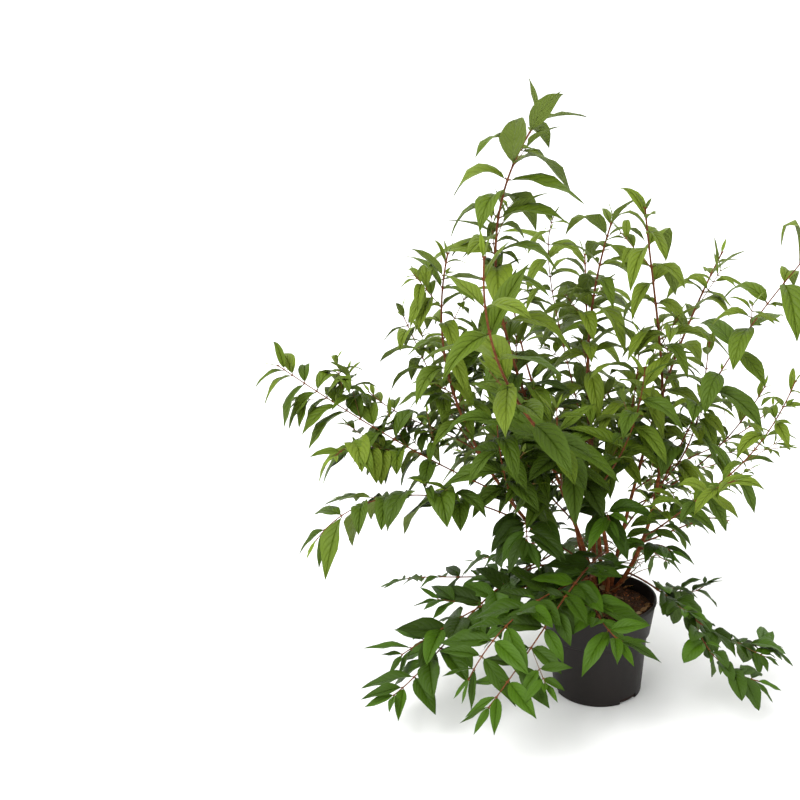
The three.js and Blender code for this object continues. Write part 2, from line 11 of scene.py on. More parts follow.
import bpy
import numpy as np
from mathutils import Matrix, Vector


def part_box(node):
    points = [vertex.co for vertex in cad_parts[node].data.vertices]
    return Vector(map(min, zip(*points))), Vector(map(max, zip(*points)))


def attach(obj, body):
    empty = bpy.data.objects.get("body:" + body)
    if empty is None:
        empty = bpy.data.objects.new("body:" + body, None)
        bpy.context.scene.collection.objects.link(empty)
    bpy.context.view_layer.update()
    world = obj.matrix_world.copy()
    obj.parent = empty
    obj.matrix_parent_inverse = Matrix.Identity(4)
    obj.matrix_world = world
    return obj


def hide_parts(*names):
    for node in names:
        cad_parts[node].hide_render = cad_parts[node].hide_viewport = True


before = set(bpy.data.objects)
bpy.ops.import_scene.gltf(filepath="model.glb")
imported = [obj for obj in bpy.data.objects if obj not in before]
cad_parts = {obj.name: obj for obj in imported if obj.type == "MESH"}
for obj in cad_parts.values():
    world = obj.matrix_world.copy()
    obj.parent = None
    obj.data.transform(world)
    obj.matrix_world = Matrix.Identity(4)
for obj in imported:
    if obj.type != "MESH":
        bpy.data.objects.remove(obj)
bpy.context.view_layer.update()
MM = 0.001
UP = np.array([0.0, 0.0, 1.0])

# %% [markdown]
# ## The camera
#
# A camera needs a place, a direction and a focal length. Here they follow from how round the pot's rim
# looks and how its height compares with its width, so the pot stands just as the eye sees it.
# The camera looks a little down and a little to the left, and it is hardly rolled.

# %% Camera
CAMERA_PLACE = (0.0, -1.6584, 0.9686)
YAW, PITCH, ROLL = np.radians([-10.55, 15.75, 2.87])
SENSOR_WIDTH = 36.0
FOCAL_LENGTH = 49.5


def add_camera():
    """A camera whose axes are right, up and backwards, turned by yaw, pitch and then roll."""
    forward = np.array([np.sin(YAW) * np.cos(PITCH), np.cos(YAW) * np.cos(PITCH), -np.sin(PITCH)])
    level = np.array([np.cos(YAW), -np.sin(YAW), 0.0])
    down = np.cross(forward, level)
    right = np.cos(ROLL) * level + np.sin(ROLL) * down
    up = np.sin(ROLL) * level - np.cos(ROLL) * down
    data = bpy.data.cameras.new("camera")
    data.sensor_width = SENSOR_WIDTH
    data.lens = FOCAL_LENGTH
    camera = bpy.data.objects.new("camera", data)
    turn = Matrix([right, up, -forward]).transposed().to_4x4()
    camera.matrix_world = Matrix.Translation(CAMERA_PLACE) @ turn
    bpy.context.scene.collection.objects.link(camera)
    bpy.context.scene.camera = camera


add_camera()
print("camera at", CAMERA_PLACE, "with a", FOCAL_LENGTH, "mm lens")

# %% [markdown]
# ## Putting arrays into a mesh
#
# Blender takes a mesh as flat lists: the points, the corners of each face, and where each face starts.
# Making those lists with numpy is far quicker than adding faces one by one. Faces of four and of three
# corners are kept in separate arrays, and one function joins them.

# %% From arrays to a mesh
SHARP_ANGLE = np.radians(50)


def put_piece(name, points, faces, materials, tones=None, uv=None):
    """A mesh object of points in millimetres, and faces as arrays with one row of corners for each face."""
    mesh = bpy.data.meshes.new(name)
    corners = np.concatenate([rows.ravel() for rows in faces]).astype(np.int32)
    sizes = np.concatenate([np.full(len(rows), rows.shape[1]) for rows in faces])
    starts = np.concatenate([[0], np.cumsum(sizes)[:-1]]).astype(np.int32)
    mesh.vertices.add(len(points))
    mesh.vertices.foreach_set("co", (np.asarray(points) * MM).astype(np.float32).ravel())
    mesh.loops.add(len(corners))
    mesh.loops.foreach_set("vertex_index", corners)
    mesh.polygons.add(len(sizes))
    mesh.polygons.foreach_set("loop_start", starts)
    mesh.polygons.foreach_set("use_smooth", np.ones(len(sizes), bool))
    if tones is not None:
        mesh.polygons.foreach_set("material_index", np.asarray(tones, np.int32))
    mesh.update(calc_edges=True)
    if uv is not None:
        layer = mesh.uv_layers.new(name="surface")
        layer.uv.foreach_set("vector", uv[corners].astype(np.float32).ravel())
    mesh.set_sharp_from_angle(angle=SHARP_ANGLE)
    for material in materials:
        mesh.materials.append(material)
    piece = bpy.data.objects.new(name, mesh)
    bpy.context.scene.collection.objects.link(piece)
    print(name, len(points), "points and", len(sizes), "faces")
    return piece


# %% A piece's place in the library part
def settle(piece, slot, *nodes):
    """The piece rides on the plant and stands for these nodes, which are hidden; the slot is not used."""
    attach(piece, "root")
    if nodes:
        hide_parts(*nodes)


# %% Vectors of length one
def unit(vectors):
    """Vectors of length one that point the same way."""
    return vectors / np.linalg.norm(vectors, axis=-1, keepdims=True)


# %% [markdown]
# ## Colours and shader nodes
#
# A finish here is a small tree of shader nodes. Patterns that several materials share, such as mottling
# or the veins of a leaf, are node groups: they are built once, take named values, and put out only
# colours and heights. The shader itself stays in each material, with its plain values on its own sockets.

# %% Colours
def colour(red, green, blue):
    """A colour as a screen shows it, from 0 to 255, turned into linear light by the usual screen curve."""
    screen = np.array([red, green, blue]) / 255
    linear = np.where(screen <= 0.04045, screen / 12.92, ((screen + 0.055) / 1.055) ** 2.4)
    return (*linear.tolist(), 1.0)


# %% Helpers for shader nodes
def feed(tree, socket, value):
    """A plain value is set on the socket itself, and another node's output is linked to it."""
    if isinstance(value, bpy.types.NodeSocket):
        tree.links.new(value, socket)
    else:
        socket.default_value = value


def add_node(tree, kind, inputs=None, **settings):
    """A shader node with its settings, whose inputs are plain values or other nodes' outputs."""
    node = tree.nodes.new(kind)
    for key, value in settings.items():
        setattr(node, key, value)
    for key, value in (inputs or {}).items():
        feed(tree, node.inputs[key], value)
    return node


def add_math(tree, operation, *values):
    """The output of one Math node for the given values."""
    return add_node(tree, "ShaderNodeMath", dict(enumerate(values)), operation=operation).outputs[0]


def add_range(tree, value, ends, results):
    """A value between two ends becomes one between two results, and is held there outside the ends."""
    keys = ("Value", "From Min", "From Max", "To Min", "To Max")
    return add_node(tree, "ShaderNodeMapRange", dict(zip(keys, (value, *ends, *results)))).outputs[0]


def add_blend(tree, share, first, second):
    """A colour that goes from the first to the second with share."""
    inputs = {"Factor": share, "A": first, "B": second}
    node = add_node(tree, "ShaderNodeMix", data_type="RGBA")
    for socket in node.inputs:
        if socket.enabled and socket.name in inputs:
            feed(tree, socket, inputs[socket.name])
    return next(socket for socket in node.outputs if socket.enabled)


def add_bump(tree, shader, height, distance, strength=1.0):
    """Relief from a height in shares of a distance in metres."""
    inputs = {"Height": height, "Distance": distance, "Strength": strength}
    bump = add_node(tree, "ShaderNodeBump", inputs)
    tree.links.new(bump.outputs["Normal"], shader.inputs["Normal"])


# %% Helpers for groups and materials
def new_group(name, inputs, outputs):
    """A shader node group with named sockets, and the sockets inside it to read from and write to."""
    group = bpy.data.node_groups.new(name, "ShaderNodeTree")
    for label, kind, value in inputs:
        socket = group.interface.new_socket(label, in_out="INPUT", socket_type=kind)
        if value is not None:
            socket.default_value = value
    for label, kind in outputs:
        group.interface.new_socket(label, in_out="OUTPUT", socket_type=kind)
    return group, group.nodes.new("NodeGroupInput").outputs, group.nodes.new("NodeGroupOutput").inputs


def new_material(name, roughness, gloss=0.5):
    """A material with a Principled shader whose plain values sit on its own sockets."""
    material = bpy.data.materials.new(name)
    material.use_nodes = True
    shader = material.node_tree.nodes["Principled BSDF"]
    shader.inputs["Roughness"].default_value = roughness
    shader.inputs["Specular IOR Level"].default_value = gloss
    return material, material.node_tree, shader


# %% The mottle group
def build_mottle():
    """Two noises of Object coordinates: a coarse one that mixes two colours, and a fine one for relief."""
    group, given, made = new_group(
        "mottle",
        [
            ("First Colour", "NodeSocketColor", None),
            ("Second Colour", "NodeSocketColor", None),
            ("Patch Scale", "NodeSocketFloat", 100.0),
            ("Grain Scale", "NodeSocketFloat", 800.0),
            ("Contrast", "NodeSocketFloat", 2.0),
        ],
        [("Colour", "NodeSocketColor"), ("Patches", "NodeSocketFloat"), ("Grain", "NodeSocketFloat")],
    )
    place = add_node(group, "ShaderNodeTexCoord").outputs["Object"]
    patches, grain = (
        add_node(group, "ShaderNodeTexNoise", {"Vector": place, "Scale": given[scale], "Detail": detail})
        for scale, detail in [("Patch Scale", 3.0), ("Grain Scale", 2.0)]
    )
    middle = add_math(group, "SUBTRACT", patches.outputs["Fac"], 0.5)
    stretched = add_math(group, "MULTIPLY", middle, given["Contrast"])
    share = add_node(group, "ShaderNodeClamp", {"Value": add_math(group, "ADD", stretched, 0.5)})
    blend = add_blend(group, share.outputs[0], given["First Colour"], given["Second Colour"])
    group.links.new(blend, made["Colour"])
    group.links.new(share.outputs[0], made["Patches"])
    group.links.new(grain.outputs["Fac"], made["Grain"])
    return group


def add_mottle(tree, first, second, patch_scale, grain_scale, contrast):
    """The mottle group placed in a material with its own two colours, scales and contrast."""
    colours = {"First Colour": first, "Second Colour": second}
    scales = {"Patch Scale": patch_scale, "Grain Scale": grain_scale, "Contrast": contrast}
    return add_node(tree, "ShaderNodeGroup", {**colours, **scales}, node_tree=MOTTLE).outputs


MOTTLE = build_mottle()
print("groups so far:", [group.name for group in bpy.data.node_groups])

# %% [markdown]
# ## The pot
#
# A nursery pot is blown or moulded in one thin shell: a tapering body, a step out to a tall collar, a
# rolled rim, and notches in its foot that let water out. A turned surface suits it: one profile of
# radius and height goes round the axis. Its corners are rounded with short arcs, because moulded
# plastic has no knife edges, and the light on those small rounds is what makes a rim look real.

# %% Sizes of the pot
POT_HIGH = np.array(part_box("pot")[1]) / MM
POT_HEIGHT = POT_HIGH[2]
RIM_RADIUS = POT_HIGH[0]
POT_WALL = 1.8
FLOOR_THICKNESS = 3
BASE_RADIUS = 71.3
BASE_CHAMFER = 2
BODY_TOP_RADIUS = 80.5
COLLAR_FOOT_RADIUS = 85
COLLAR_TOP_RADIUS = 93.6
COLLAR_HEIGHT = 59
COLLAR_STEP = 3
RIM_BAND = 5
NOTCH = {"width": 35, "height": 10, "depth": 12, "first": -45, "count": 3}
POT_SEGMENTS = 160
CORNER_RADIUS = 0.7
CORNER_STEPS = 4
print("pot", round(2 * RIM_RADIUS), "mm across its rim and", round(POT_HEIGHT), "mm high")


# %% Turned surfaces
def rounded(profile, radius):
    """Each corner but the first and last becomes a curve: (1-t)^2 start + 2t(1-t) corner + t^2 end."""
    points = [profile[0]]
    for before, corner, after in zip(profile, profile[1:], profile[2:]):
        start = corner + unit(before - corner) * min(radius, np.linalg.norm(before - corner) / 2)
        end = corner + unit(after - corner) * min(radius, np.linalg.norm(after - corner) / 2)
        t = np.linspace(0, 1, CORNER_STEPS)[:, None]
        points.extend((1 - t) ** 2 * start + 2 * t * (1 - t) * corner + t**2 * end)
    return np.array(points + [profile[-1]])


def round_angles(count):
    """Even angles once round."""
    return np.linspace(0, 2 * np.pi, count, endpoint=False)


def turned(profile, segments):
    """A closed surface of revolution: rings of points (r cos a, r sin a, z), and one point at each pole."""
    angle = round_angles(segments)
    radius, height = profile[1:-1, 0, None], profile[1:-1, 1, None]
    rings = np.stack([radius * np.cos(angle), radius * np.sin(angle), np.repeat(height, segments, 1)], -1)
    poles = [[0, 0, profile[0, 1]], [0, 0, profile[-1, 1]]]
    points = np.concatenate([rings.reshape(-1, 3), poles])
    quads, caps = ring_faces(len(radius), segments)
    return points, [quads[:, ::-1], caps[:, ::-1]]


def ring_faces(rings, sides):
    """Faces that join rings of points, and two fans that close the ends on the two points that follow."""
    index = np.arange(rings * sides).reshape(rings, sides)
    following = np.roll(index, -1, axis=1)
    quads = np.stack([index[:-1], index[1:], following[1:], following[:-1]], -1).reshape(-1, 4)
    first = np.full(sides, rings * sides)
    foot = np.stack([first, index[0], following[0]], -1)
    head = np.stack([first + 1, following[-1], index[-1]], -1)
    return quads, np.concatenate([foot, head])


# %% Profile of the pot
def pot_profile():
    """Radius and height from the middle of the underside, up the outside, over the rim, and down inside."""
    collar_foot = POT_HEIGHT - COLLAR_HEIGHT
    return np.array(
        [
            [0, 0],
            [BASE_RADIUS - BASE_CHAMFER, 0],
            [BASE_RADIUS, BASE_CHAMFER],
            [BODY_TOP_RADIUS, collar_foot],
            [COLLAR_FOOT_RADIUS, collar_foot + COLLAR_STEP],
            [COLLAR_TOP_RADIUS, POT_HEIGHT - RIM_BAND],
            [RIM_RADIUS, POT_HEIGHT - RIM_BAND],
            [RIM_RADIUS, POT_HEIGHT],
            [COLLAR_TOP_RADIUS - POT_WALL, POT_HEIGHT],
            [COLLAR_FOOT_RADIUS - POT_WALL, collar_foot + COLLAR_STEP],
            [BODY_TOP_RADIUS - POT_WALL, collar_foot],
            [BASE_RADIUS - POT_WALL, FLOOR_THICKNESS],
            [0, FLOOR_THICKNESS],
        ],
        float,
    )


# %% Pot finish
DUSTY_ROUGHNESS = (0.44, 0.62)


def pot_finish():
    """Matte black plastic: a little dust in patches, and a fine moulded grain."""
    material, tree, shader = new_material("matte_pot_plastic", 0.5, gloss=0.22)
    black, dusty = colour(20, 16, 14), colour(28, 23, 21)
    plastic = add_mottle(tree, black, dusty, patch_scale=28.0, grain_scale=1400.0, contrast=1.6)
    tree.links.new(plastic["Colour"], shader.inputs["Base Color"])
    roughness = add_range(tree, plastic["Patches"], (0.0, 1.0), DUSTY_ROUGHNESS)
    tree.links.new(roughness, shader.inputs["Roughness"])
    add_bump(tree, shader, plastic["Grain"], distance=0.0002, strength=0.35)
    return material


# %% Pot with its notches
def notch_cutters():
    """Boxes across the foot of the wall, one for each notch, as one mesh object."""
    corners = np.array([[x, y, z] for x in (-1, 1) for y in (-1, 1) for z in (-1, 1)], float)
    sides = np.array([[0, 1, 3, 2], [4, 6, 7, 5], [0, 4, 5, 1], [2, 3, 7, 6], [0, 2, 6, 4], [1, 5, 7, 3]])
    points = []
    for i in range(NOTCH["count"]):
        angle = np.radians(NOTCH["first"] + i * 360 / NOTCH["count"])
        box = corners * [NOTCH["depth"], NOTCH["width"] / 2, NOTCH["height"]] + [BASE_RADIUS, 0, 0]
        turn = np.array([[np.cos(angle), np.sin(angle)], [-np.sin(angle), np.cos(angle)]])
        points.append(np.column_stack([box[:, :2] @ turn, box[:, 2]]))
    faces = np.concatenate([sides + len(corners) * i for i in range(NOTCH["count"])])
    return put_piece("notch_cutters", np.concatenate(points), [faces], [])


def make_pot():
    """The turned shell, less the notches in its foot."""
    points, faces = turned(rounded(pot_profile(), CORNER_RADIUS), POT_SEGMENTS)
    pot = put_piece("nursery_pot", points, faces, [pot_finish()])
    cutters = notch_cutters()
    cut = pot.modifiers.new("notches", "BOOLEAN")
    cut.operation = "DIFFERENCE"
    cut.solver = "EXACT"
    cut.object = cutters
    finished = bpy.data.meshes.new_from_object(pot.evaluated_get(bpy.context.evaluated_depsgraph_get()))
    pot.modifiers.clear()
    pot.data = finished
    pot.data.set_sharp_from_angle(angle=SHARP_ANGLE)
    bpy.data.objects.remove(cutters)
    settle(pot, "pot", "pot")
    print("the pot has", len(finished.polygons), "faces with its", NOTCH["count"], "notches")


make_pot()

# %% [markdown]
# ## Seeded dice and the growth figures
#
# A plant is full of chance, but this one has to come out the same every time, and its stems have to
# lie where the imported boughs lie. So the dice are written out here, with the seeds of the part's
# source, and the bearings, reaches and bows of the canes and the side shoots are the same as well.

# %% Seeded dice
WORD = 0xFFFFFFFF


def dice(seed):
    """Numbers from 0 to 1, always the same for a seed: each state is scrambled by shifts and products."""
    state = seed & WORD
    while True:
        state = (state + 0x6D2B79F5) & WORD
        mixed = ((state ^ (state >> 15)) * (state | 1)) & WORD
        mixed ^= (mixed + (mixed ^ (mixed >> 7)) * (mixed | 61)) & WORD
        yield (mixed ^ (mixed >> 14)) / (WORD + 1)


def swing(roll, most):
    """A number thrown evenly from -most to most."""
    return (next(roll) * 2 - 1) * most


def drawn(span, draw):
    """The least of a span and a drawn share, from 0 to 1, of its extra."""
    return span["least"] + span["extra"] * draw


# %% Figures of the canes and the side shoots
SOIL_LEVEL = 145
GAP = 0.3
HANDLE_SHARE = 0.36
CANE = {"foot": 3.6, "tip": 1.25, "flare": 0.35, "flare_height": 26}
SIDE_SHOOT = {"share": 0.5, "most": 1.8, "tip": 0.8}
FIRST_SHOOT_SEED = 101
PAIR_SEEDS = 131
TWIG_SEEDS = 1009
LEAF_SEEDS = 7

# Each cane: where it leaves the soil, in x and y, its bearing in degrees from +X, its reach and rise, how
# far its foot and its tip lean from upright, its sideways bow, its bare share, and its leaves' length
CANES = {
    "front": (17, 45, -114, 380, 620, -10, -10, 0, 0.31, 74),
    "tall": (-2, 62, -139, 95, 785, 8, -40, -60, 0.31, 74),
    "left": (-14, 52, -151, 230, 590, 38, -10, -50, 0.5, 66),
    "mid": (9, 72, 47, 25, 620, 0, 24, 15, 0.33, 62),
    "right": (27, 52, -66, 100, 645, 29, 36, 85, 0.33, 64),
    "back_right": (22, 74, 39, 235, 540, 17, 34, 5, 0.32, 62),
    "back_mid": (-4, 80, 94, 250, 525, 5, 25, 0, 0.3, 66),
    "back_left": (-18, 72, 124, 240, 495, 10, 10, 0, 0.32, 66),
}

# Each side shoot: the limb that it leaves, how far along it, and then the same figures as a cane's
SHOOTS = {
    "slender": ("mid", 0.27, 121, 130, 440, 33, -52, -30, 0, 54),
    "left_back": ("left", 0.44, 158, 150, 245, 44, 27, 0, 0, 54),
    "left_wisp": ("left", 0.48, 167, 190, 90, 60, 46, -5, 0, 42),
    "left_long": ("left", 0.34, -168, 355, 240, 62, 52, 5, 0.22, 54),
    "left_mid": ("left_long", 0.39, -133, 155, 30, 85, 105, -30, 0, 54),
    "left_low": ("left", 0.23, -151, 365, 45, 52, 140, 5, 0.2, 72),
    "far_right": ("right", 0.27, -37, 255, 435, 22, 41, 5, 0, 64),
    "right_low": ("right", 0.22, -50, 275, 290, 58, 23, 5, 0, 52),
    "right_thin": ("back_right", 0.23, -12, 210, 225, 56, 27, -25, 0, 52),
    "right_fore": ("right", 0.18, -72, 325, 210, 59, 63, 0, 0, 52),
    "right_wisp": ("right", 0.16, 40, 195, -10, 77, 125, -20, 0, 44),
    "back_mid_side": ("back_mid", 0.25, 63, 275, 250, 40, 25, 0, 0, 62),
    "back_left_low": ("back_left", 0.28, 151, 275, 180, 55, 40, 0, 0, 60),
    "back_left_wisp": ("back_left", 0.19, 133, 315, 45, 60, 100, 0, 0, 58),
    "back_right_low": ("back_right", 0.28, 30, 280, 110, 60, 50, 0, 0, 58),
    "back_right_wisp": ("back_right", 0.16, 54, 315, 35, 55, 100, 0, 0, 56),
    "front_side": ("front", 0.28, -27, 90, 220, 40, 5, 0, 0, 66),
    "tall_side": ("tall", 0.28, -173, 55, 220, 45, 0, 0, 0, 70),
    "tall_fore": ("tall", 0.22, -91, 155, 190, 50, 0, 0, 0, 74),
    "mid_side": ("mid", 0.31, -35, 85, 255, 45, 0, 0, 0, 64),
    "left_side": ("left", 0.3, -97, 135, 215, 50, 5, 0, 0, 72),
    "right_side": ("right", 0.31, -17, 75, 240, 45, 5, 0, 0, 60),
    "inner_left": ("left", 0.26, -85, 115, 10, 75, 115, 0, 0, 62),
    "inner_fore": ("front", 0.19, -85, 135, 55, 70, 100, 0, 0, 66),
    "inner_right": ("right", 0.14, -62, 95, 35, 60, 100, 0, 0, 46),
    "skirt_wisp": ("left", 0.14, 172, 285, -80, 125, 120, 40, 0, 46),
    "skirt_left": ("left", 0.06, -148, 315, -70, 80, 120, 20, 0, 60),
    "skirt_far": ("left", 0.1, -137, 345, -120, 74, 100, -25, 0, 60),
    "skirt_fore": ("front", 0.05, -124, 360, -40, 78, 140, 10, 0, 60),
    "skirt_near": ("front", 0.1, -117, 370, -100, 76, 117, 20, 0, 60),
    "apron": ("front", 0.07, -85, 215, -30, 60, 95, -50, 0, 62),
    "skirt_right": ("right", 0.07, -5, 225, -110, 90, 95, -70, 0, 44),
    "skirt_right_low": ("skirt_right", 0.47, -35, 115, -70, 105, 120, -50, 0, 48),
    "skirt_right_top": ("skirt_right", 0.25, 55, 140, -35, 85, 65, 5, 0, 42),
    "back_skirt_left": ("back_left", 0.07, 137, 285, -90, 65, 115, 0, 0, 58),
    "back_skirt_mid": ("back_mid", 0.07, 101, 275, -110, 65, 115, 0, 0, 58),
    "back_skirt_right": ("back_right", 0.07, 66, 255, -100, 60, 115, 0, 0, 50),
}
print(len(CANES), "canes and", len(SHOOTS), "side shoots")

# %% [markdown]
# ## Stems as curves
#
# A young stem bends smoothly, so a cubic curve with four controls describes it well. Two things are
# needed of it: the point at a given share of its length, and three directions there, along the stem,
# sideways, and towards its bearing. Shares of the length come from adding up many short steps.

# %% Cubic curves
STEPS = np.linspace(0, 1, 401)


def cubic(controls, t):
    """The controls weighted by (1-t)^3, 3t(1-t)^2, 3t^2(1-t) and t^3."""
    weights = np.stack([(1 - t) ** 3, 3 * t * (1 - t) ** 2, 3 * t**2 * (1 - t), t**3], -1)
    return weights @ controls


def cubic_direction(controls, t):
    """The direction of the curve: its three sides weighted by (1-t)^2, 2t(1-t) and t^2."""
    weights = np.stack([(1 - t) ** 2, 2 * t * (1 - t), t**2], -1)
    return unit(weights @ np.diff(controls, axis=0))


# %% Stem curves
class Stem:
    """A curve with a fixed sideways direction, read by shares of its length."""

    def __init__(self, controls, side):
        """The length up to each of many steps is added up once, from the short lines between them."""
        self.controls = np.array(controls, float)
        self.side = side
        steps = np.linalg.norm(np.diff(cubic(self.controls, STEPS), axis=0), axis=1)
        self.lengths = np.concatenate([[0], np.cumsum(steps)])
        self.length = self.lengths[-1]

    def parameter(self, share):
        """The t of the curve at a share of its length, read between the steps."""
        return np.interp(np.asarray(share, float) * self.length, self.lengths, STEPS)

    def at(self, share):
        """The point at a share of the length."""
        return cubic(self.controls, self.parameter(share))

    def directions(self, share):
        """Along the stem, sideways at a right angle to it, and leaning, which is sideways x along."""
        along = cubic_direction(self.controls, self.parameter(share))
        off = np.sum(along * self.side, -1, keepdims=True)
        sideways = unit(self.side - along * off)
        return along, sideways, np.cross(sideways, along)


# %% A stem by its figures
def stem_from(start, bearing, reach, rise, foot_tilt, tip_tilt, sway):
    """A stem by its bearing, reach, rise, tilts and sway, as the part's source draws it."""
    turn = np.radians(bearing)
    outwards = np.array([np.cos(turn), np.sin(turn), 0])
    side = np.array([-np.sin(turn), np.cos(turn), 0])
    end = start + outwards * reach + UP * rise
    handle = HANDLE_SHARE * np.linalg.norm(end - start)
    lean = [outwards * np.sin(tilt) + UP * np.cos(tilt) for tilt in np.radians([foot_tilt, tip_tilt])]
    first = start + lean[0] * handle + side * sway
    second = end - lean[1] * handle + side * sway
    return Stem([start, first, second, end], side)


# %% Plan every stem
def plan_stem(start, figures, foot, tip, seed, flare=0):
    """A stem: its curve, its radius at foot and tip, seed, flare, bare share, and its leaves' length."""
    line, (bare, leaf) = stem_from(start, *figures[:6]), figures[6:]
    return {"line": line, "foot": foot, "tip": tip, "seed": seed, "flare": flare, "bare": bare, "leaf": leaf}


def plan_stems():
    """The canes from the soil, then the side shoots from their limbs."""
    stems = {}
    for seed, (name, (x, y, *figures)) in enumerate(CANES.items(), 1):
        start = np.array([x, y, SOIL_LEVEL + GAP])
        stems[name] = plan_stem(start, figures, CANE["foot"], CANE["tip"], seed, CANE["flare"])
    for seed, (name, (on, at, *figures)) in enumerate(SHOOTS.items(), FIRST_SHOOT_SEED):
        foot = min(SIDE_SHOOT["most"], SIDE_SHOOT["share"] * radius_at(stems[on], at))
        stems[name] = plan_stem(stems[on]["line"].at(at), figures, foot, SIDE_SHOOT["tip"], seed)
    return stems


def radius_at(stem, share):
    """An even taper from foot to tip; a cane also flares where it leaves the soil."""
    share = np.asarray(share, float)
    taper = stem["foot"] + (stem["tip"] - stem["foot"]) * share
    rise = share * stem["line"].length / CANE["flare_height"]
    return taper * (1 + stem["flare"] * np.clip(1 - rise, 0, None))


STEMS = plan_stems()
print(len(STEMS), "stems, the longest", round(max(stem["line"].length for stem in STEMS.values())), "mm")

# %% [markdown]
# ## Where leaves grow
#
# The leaves of this shrub stand in pairs. They are counted from a shoot's tip down: the first pairs are
# small, upright and close together, and lower ones are full, far apart and hanging. On an upright stem
# each pair stands across the last one, and on a level stem all of them turn to its two sides.
# The imported model carries fewer, larger leaves, so here the pairs stand closer and the leaves are
# their true size. Limbs aren't all alike, so a table holds the habits of single limbs: how close their
# pairs stand, how long and how limp their leaves are, and how light their tones are, which is partly
# painted light and painted shade for limbs out in the open or deep in the crown. A leaf that would
# cross the ground or the pot tries another pose, or stays away.

# %% Figures of the leaves
INTERNODE_SHARE = 0.44
TIP_INTERNODE_SHARE = 0.33
INTERNODE_GROWTH = 0.2
TIP_LEAF_SHARE = 0.33
LEVEL_TIP_GAIN = 0.12
LOW_TIP_GAIN = 0.36
LEAF_GROWTH = 0.29
TIP_SPREAD = 26
SPREAD_GROWTH = 15
FULL_SPREAD = 64
TIP_DROOP = 0.1
DROOP_GROWTH = 0.26
FULL_DROOP = 1.05
LEVEL_DROOP_LOSS = 0.45
LEVEL_ROLL_LOSS = 0.4
SAG_GAIN = 1.9
SAG_POWER = 1.25
LEAF_GAIN = 1.14
LOW_LEAF_GAIN = 1.0
SLIM = 0.335
BROADER_WHEN_LEVEL = 0.1
YOUNG_WIDTH = 0.6
YOUNG_WIDTH_GROWTH = 0.11
UPPER_LEAN = 0.35
CLEAR_STEM = 26
FIRST_PAIR_AT = 3
SWING = {"turn": 0.28, "level_turn": 0.5, "size": 0.22, "spread": 16, "droop": 0.65, "roll": 0.45}
INTERNODE_SWING = 0.2
LOST = 0.05

# %% Habits of single limbs
# How many times farther apart a limb's pairs stand, how many times longer its leaves are, how many
# times more they droop, and by how many steps their tones are lighter, which is partly painted light
# and painted shade for limbs out in the open or deep in the crown
HABITS = {
    "front": (1.35, 1.12, 0.5, -1.1),
    "tall": (0.85, 1.3, 1.0, -1.2),
    "left": (0.85, 1.05, 1.0, -0.4),
    "mid": (0.85, 1.32, 1.1, 0.8),
    "right": (1.1, 1.2, 1.1, 1.0),
    "back_right": (1.1, 1.1, 1.0, 0.9),
    "back_mid": (1.05, 1.2, 1.1, 1.0),
    "back_left": (1.0, 1.1, 1.1, 0.2),
    "slender": (1.1, 1.2, 1.1, 0.0),
    "left_back": (0.8, 1.15, 1.2, 0.5),
    "left_side": (0.75, 1.1, 1.0, -0.9),
    "mid_side": (1.0, 1.2, 1.0, 1.1),
    "right_side": (1.2, 1.1, 1.0, 1.0),
    "front_side": (0.8, 1.1, 0.8, -0.2),
    "tall_fore": (0.85, 1.1, 0.5, -0.8),
    "tall_side": (0.85, 1.15, 1.0, -0.2),
    "inner_left": (0.8, 1.15, 1.1, -0.3),
    "back_left_low": (0.8, 1.2, 1.0, -1.6),
    "back_left_wisp": (0.85, 1.1, 1.0, -1.6),
    "left_low": (1.2, 1.15, 1.2, -0.8),
    "left_mid": (1.15, 1.3, 1.5, -0.2),
    "left_long": (0.9, 1.25, 1.3, -1.0),
    "left_wisp": (1.2, 1.1, 1.0, 0.0),
    "far_right": (1.35, 1.2, 1.0, -0.6),
    "right_low": (1.4, 0.98, 1.0, 0.4),
    "right_thin": (1.4, 1.0, 1.0, 0.6),
    "right_fore": (2.1, 0.95, 0.7, 0.0),
    "right_wisp": (2.2, 0.75, 1.0, 0.8),
    "back_right_low": (2.0, 0.85, 1.0, 1.2),
    "back_right_wisp": (2.4, 0.7, 1.0, 0.6),
    "inner_right": (1.5, 1.15, 1.2, 0.0),
    "skirt_wisp": (1.5, 1.1, 0.5, 0.6),
    "skirt_left": (1.2, 1.28, 0.3, 0.2),
    "skirt_far": (1.2, 1.3, 0.35, 0.4),
    "skirt_fore": (1.05, 1.25, 0.25, 0.3),
    "skirt_near": (1.3, 1.12, 0.25, 0.2),
    "apron": (0.85, 1.12, 0.35, 0.8),
    "skirt_right": (0.95, 1.15, 0.7, 0.0),
    "skirt_right_low": (0.95, 1.15, 0.7, 0.3),
    "skirt_right_top": (1.0, 1.1, 0.7, 0.2),
    "back_skirt_right": (1.6, 0.85, 0.6, 0.4),
}
USUAL_HABIT = (1.0, 1.0, 1.0, 0.0)
print(len(HABITS), "limbs with habits of their own")

# By how much wider for their length the leaves of a limb are, as they are low down beside the pot
ROUNDER = {
    "skirt_right": 0.2,
    "skirt_right_low": 0.2,
    "skirt_right_top": 0.14,
    "skirt_left": 0.04,
    "skirt_far": 0.04,
}

# The turn of the first pair, in radians, where it isn't left to the dice
TWISTS = {"front": 1.15, "tall": 1.64, "tall_fore": 0.0}

# %% Where a leaf may hang
LEAST_HEIGHT = 7
POT_CLEARANCE = 4
OPEN_SIDE = {"from": -14, "front": -74, "height": 228}


def pot_radius_at(height):
    """The outer radius of the pot, from its base to the foot of its collar and on to its rim."""
    collar_foot = POT_HEIGHT - COLLAR_HEIGHT
    body = np.interp(height, [0, collar_foot], [BASE_RADIUS, BODY_TOP_RADIUS])
    collar = np.interp(height, [collar_foot, POT_HEIGHT], [COLLAR_FOOT_RADIUS, RIM_RADIUS])
    return np.where(height < collar_foot, body, collar)


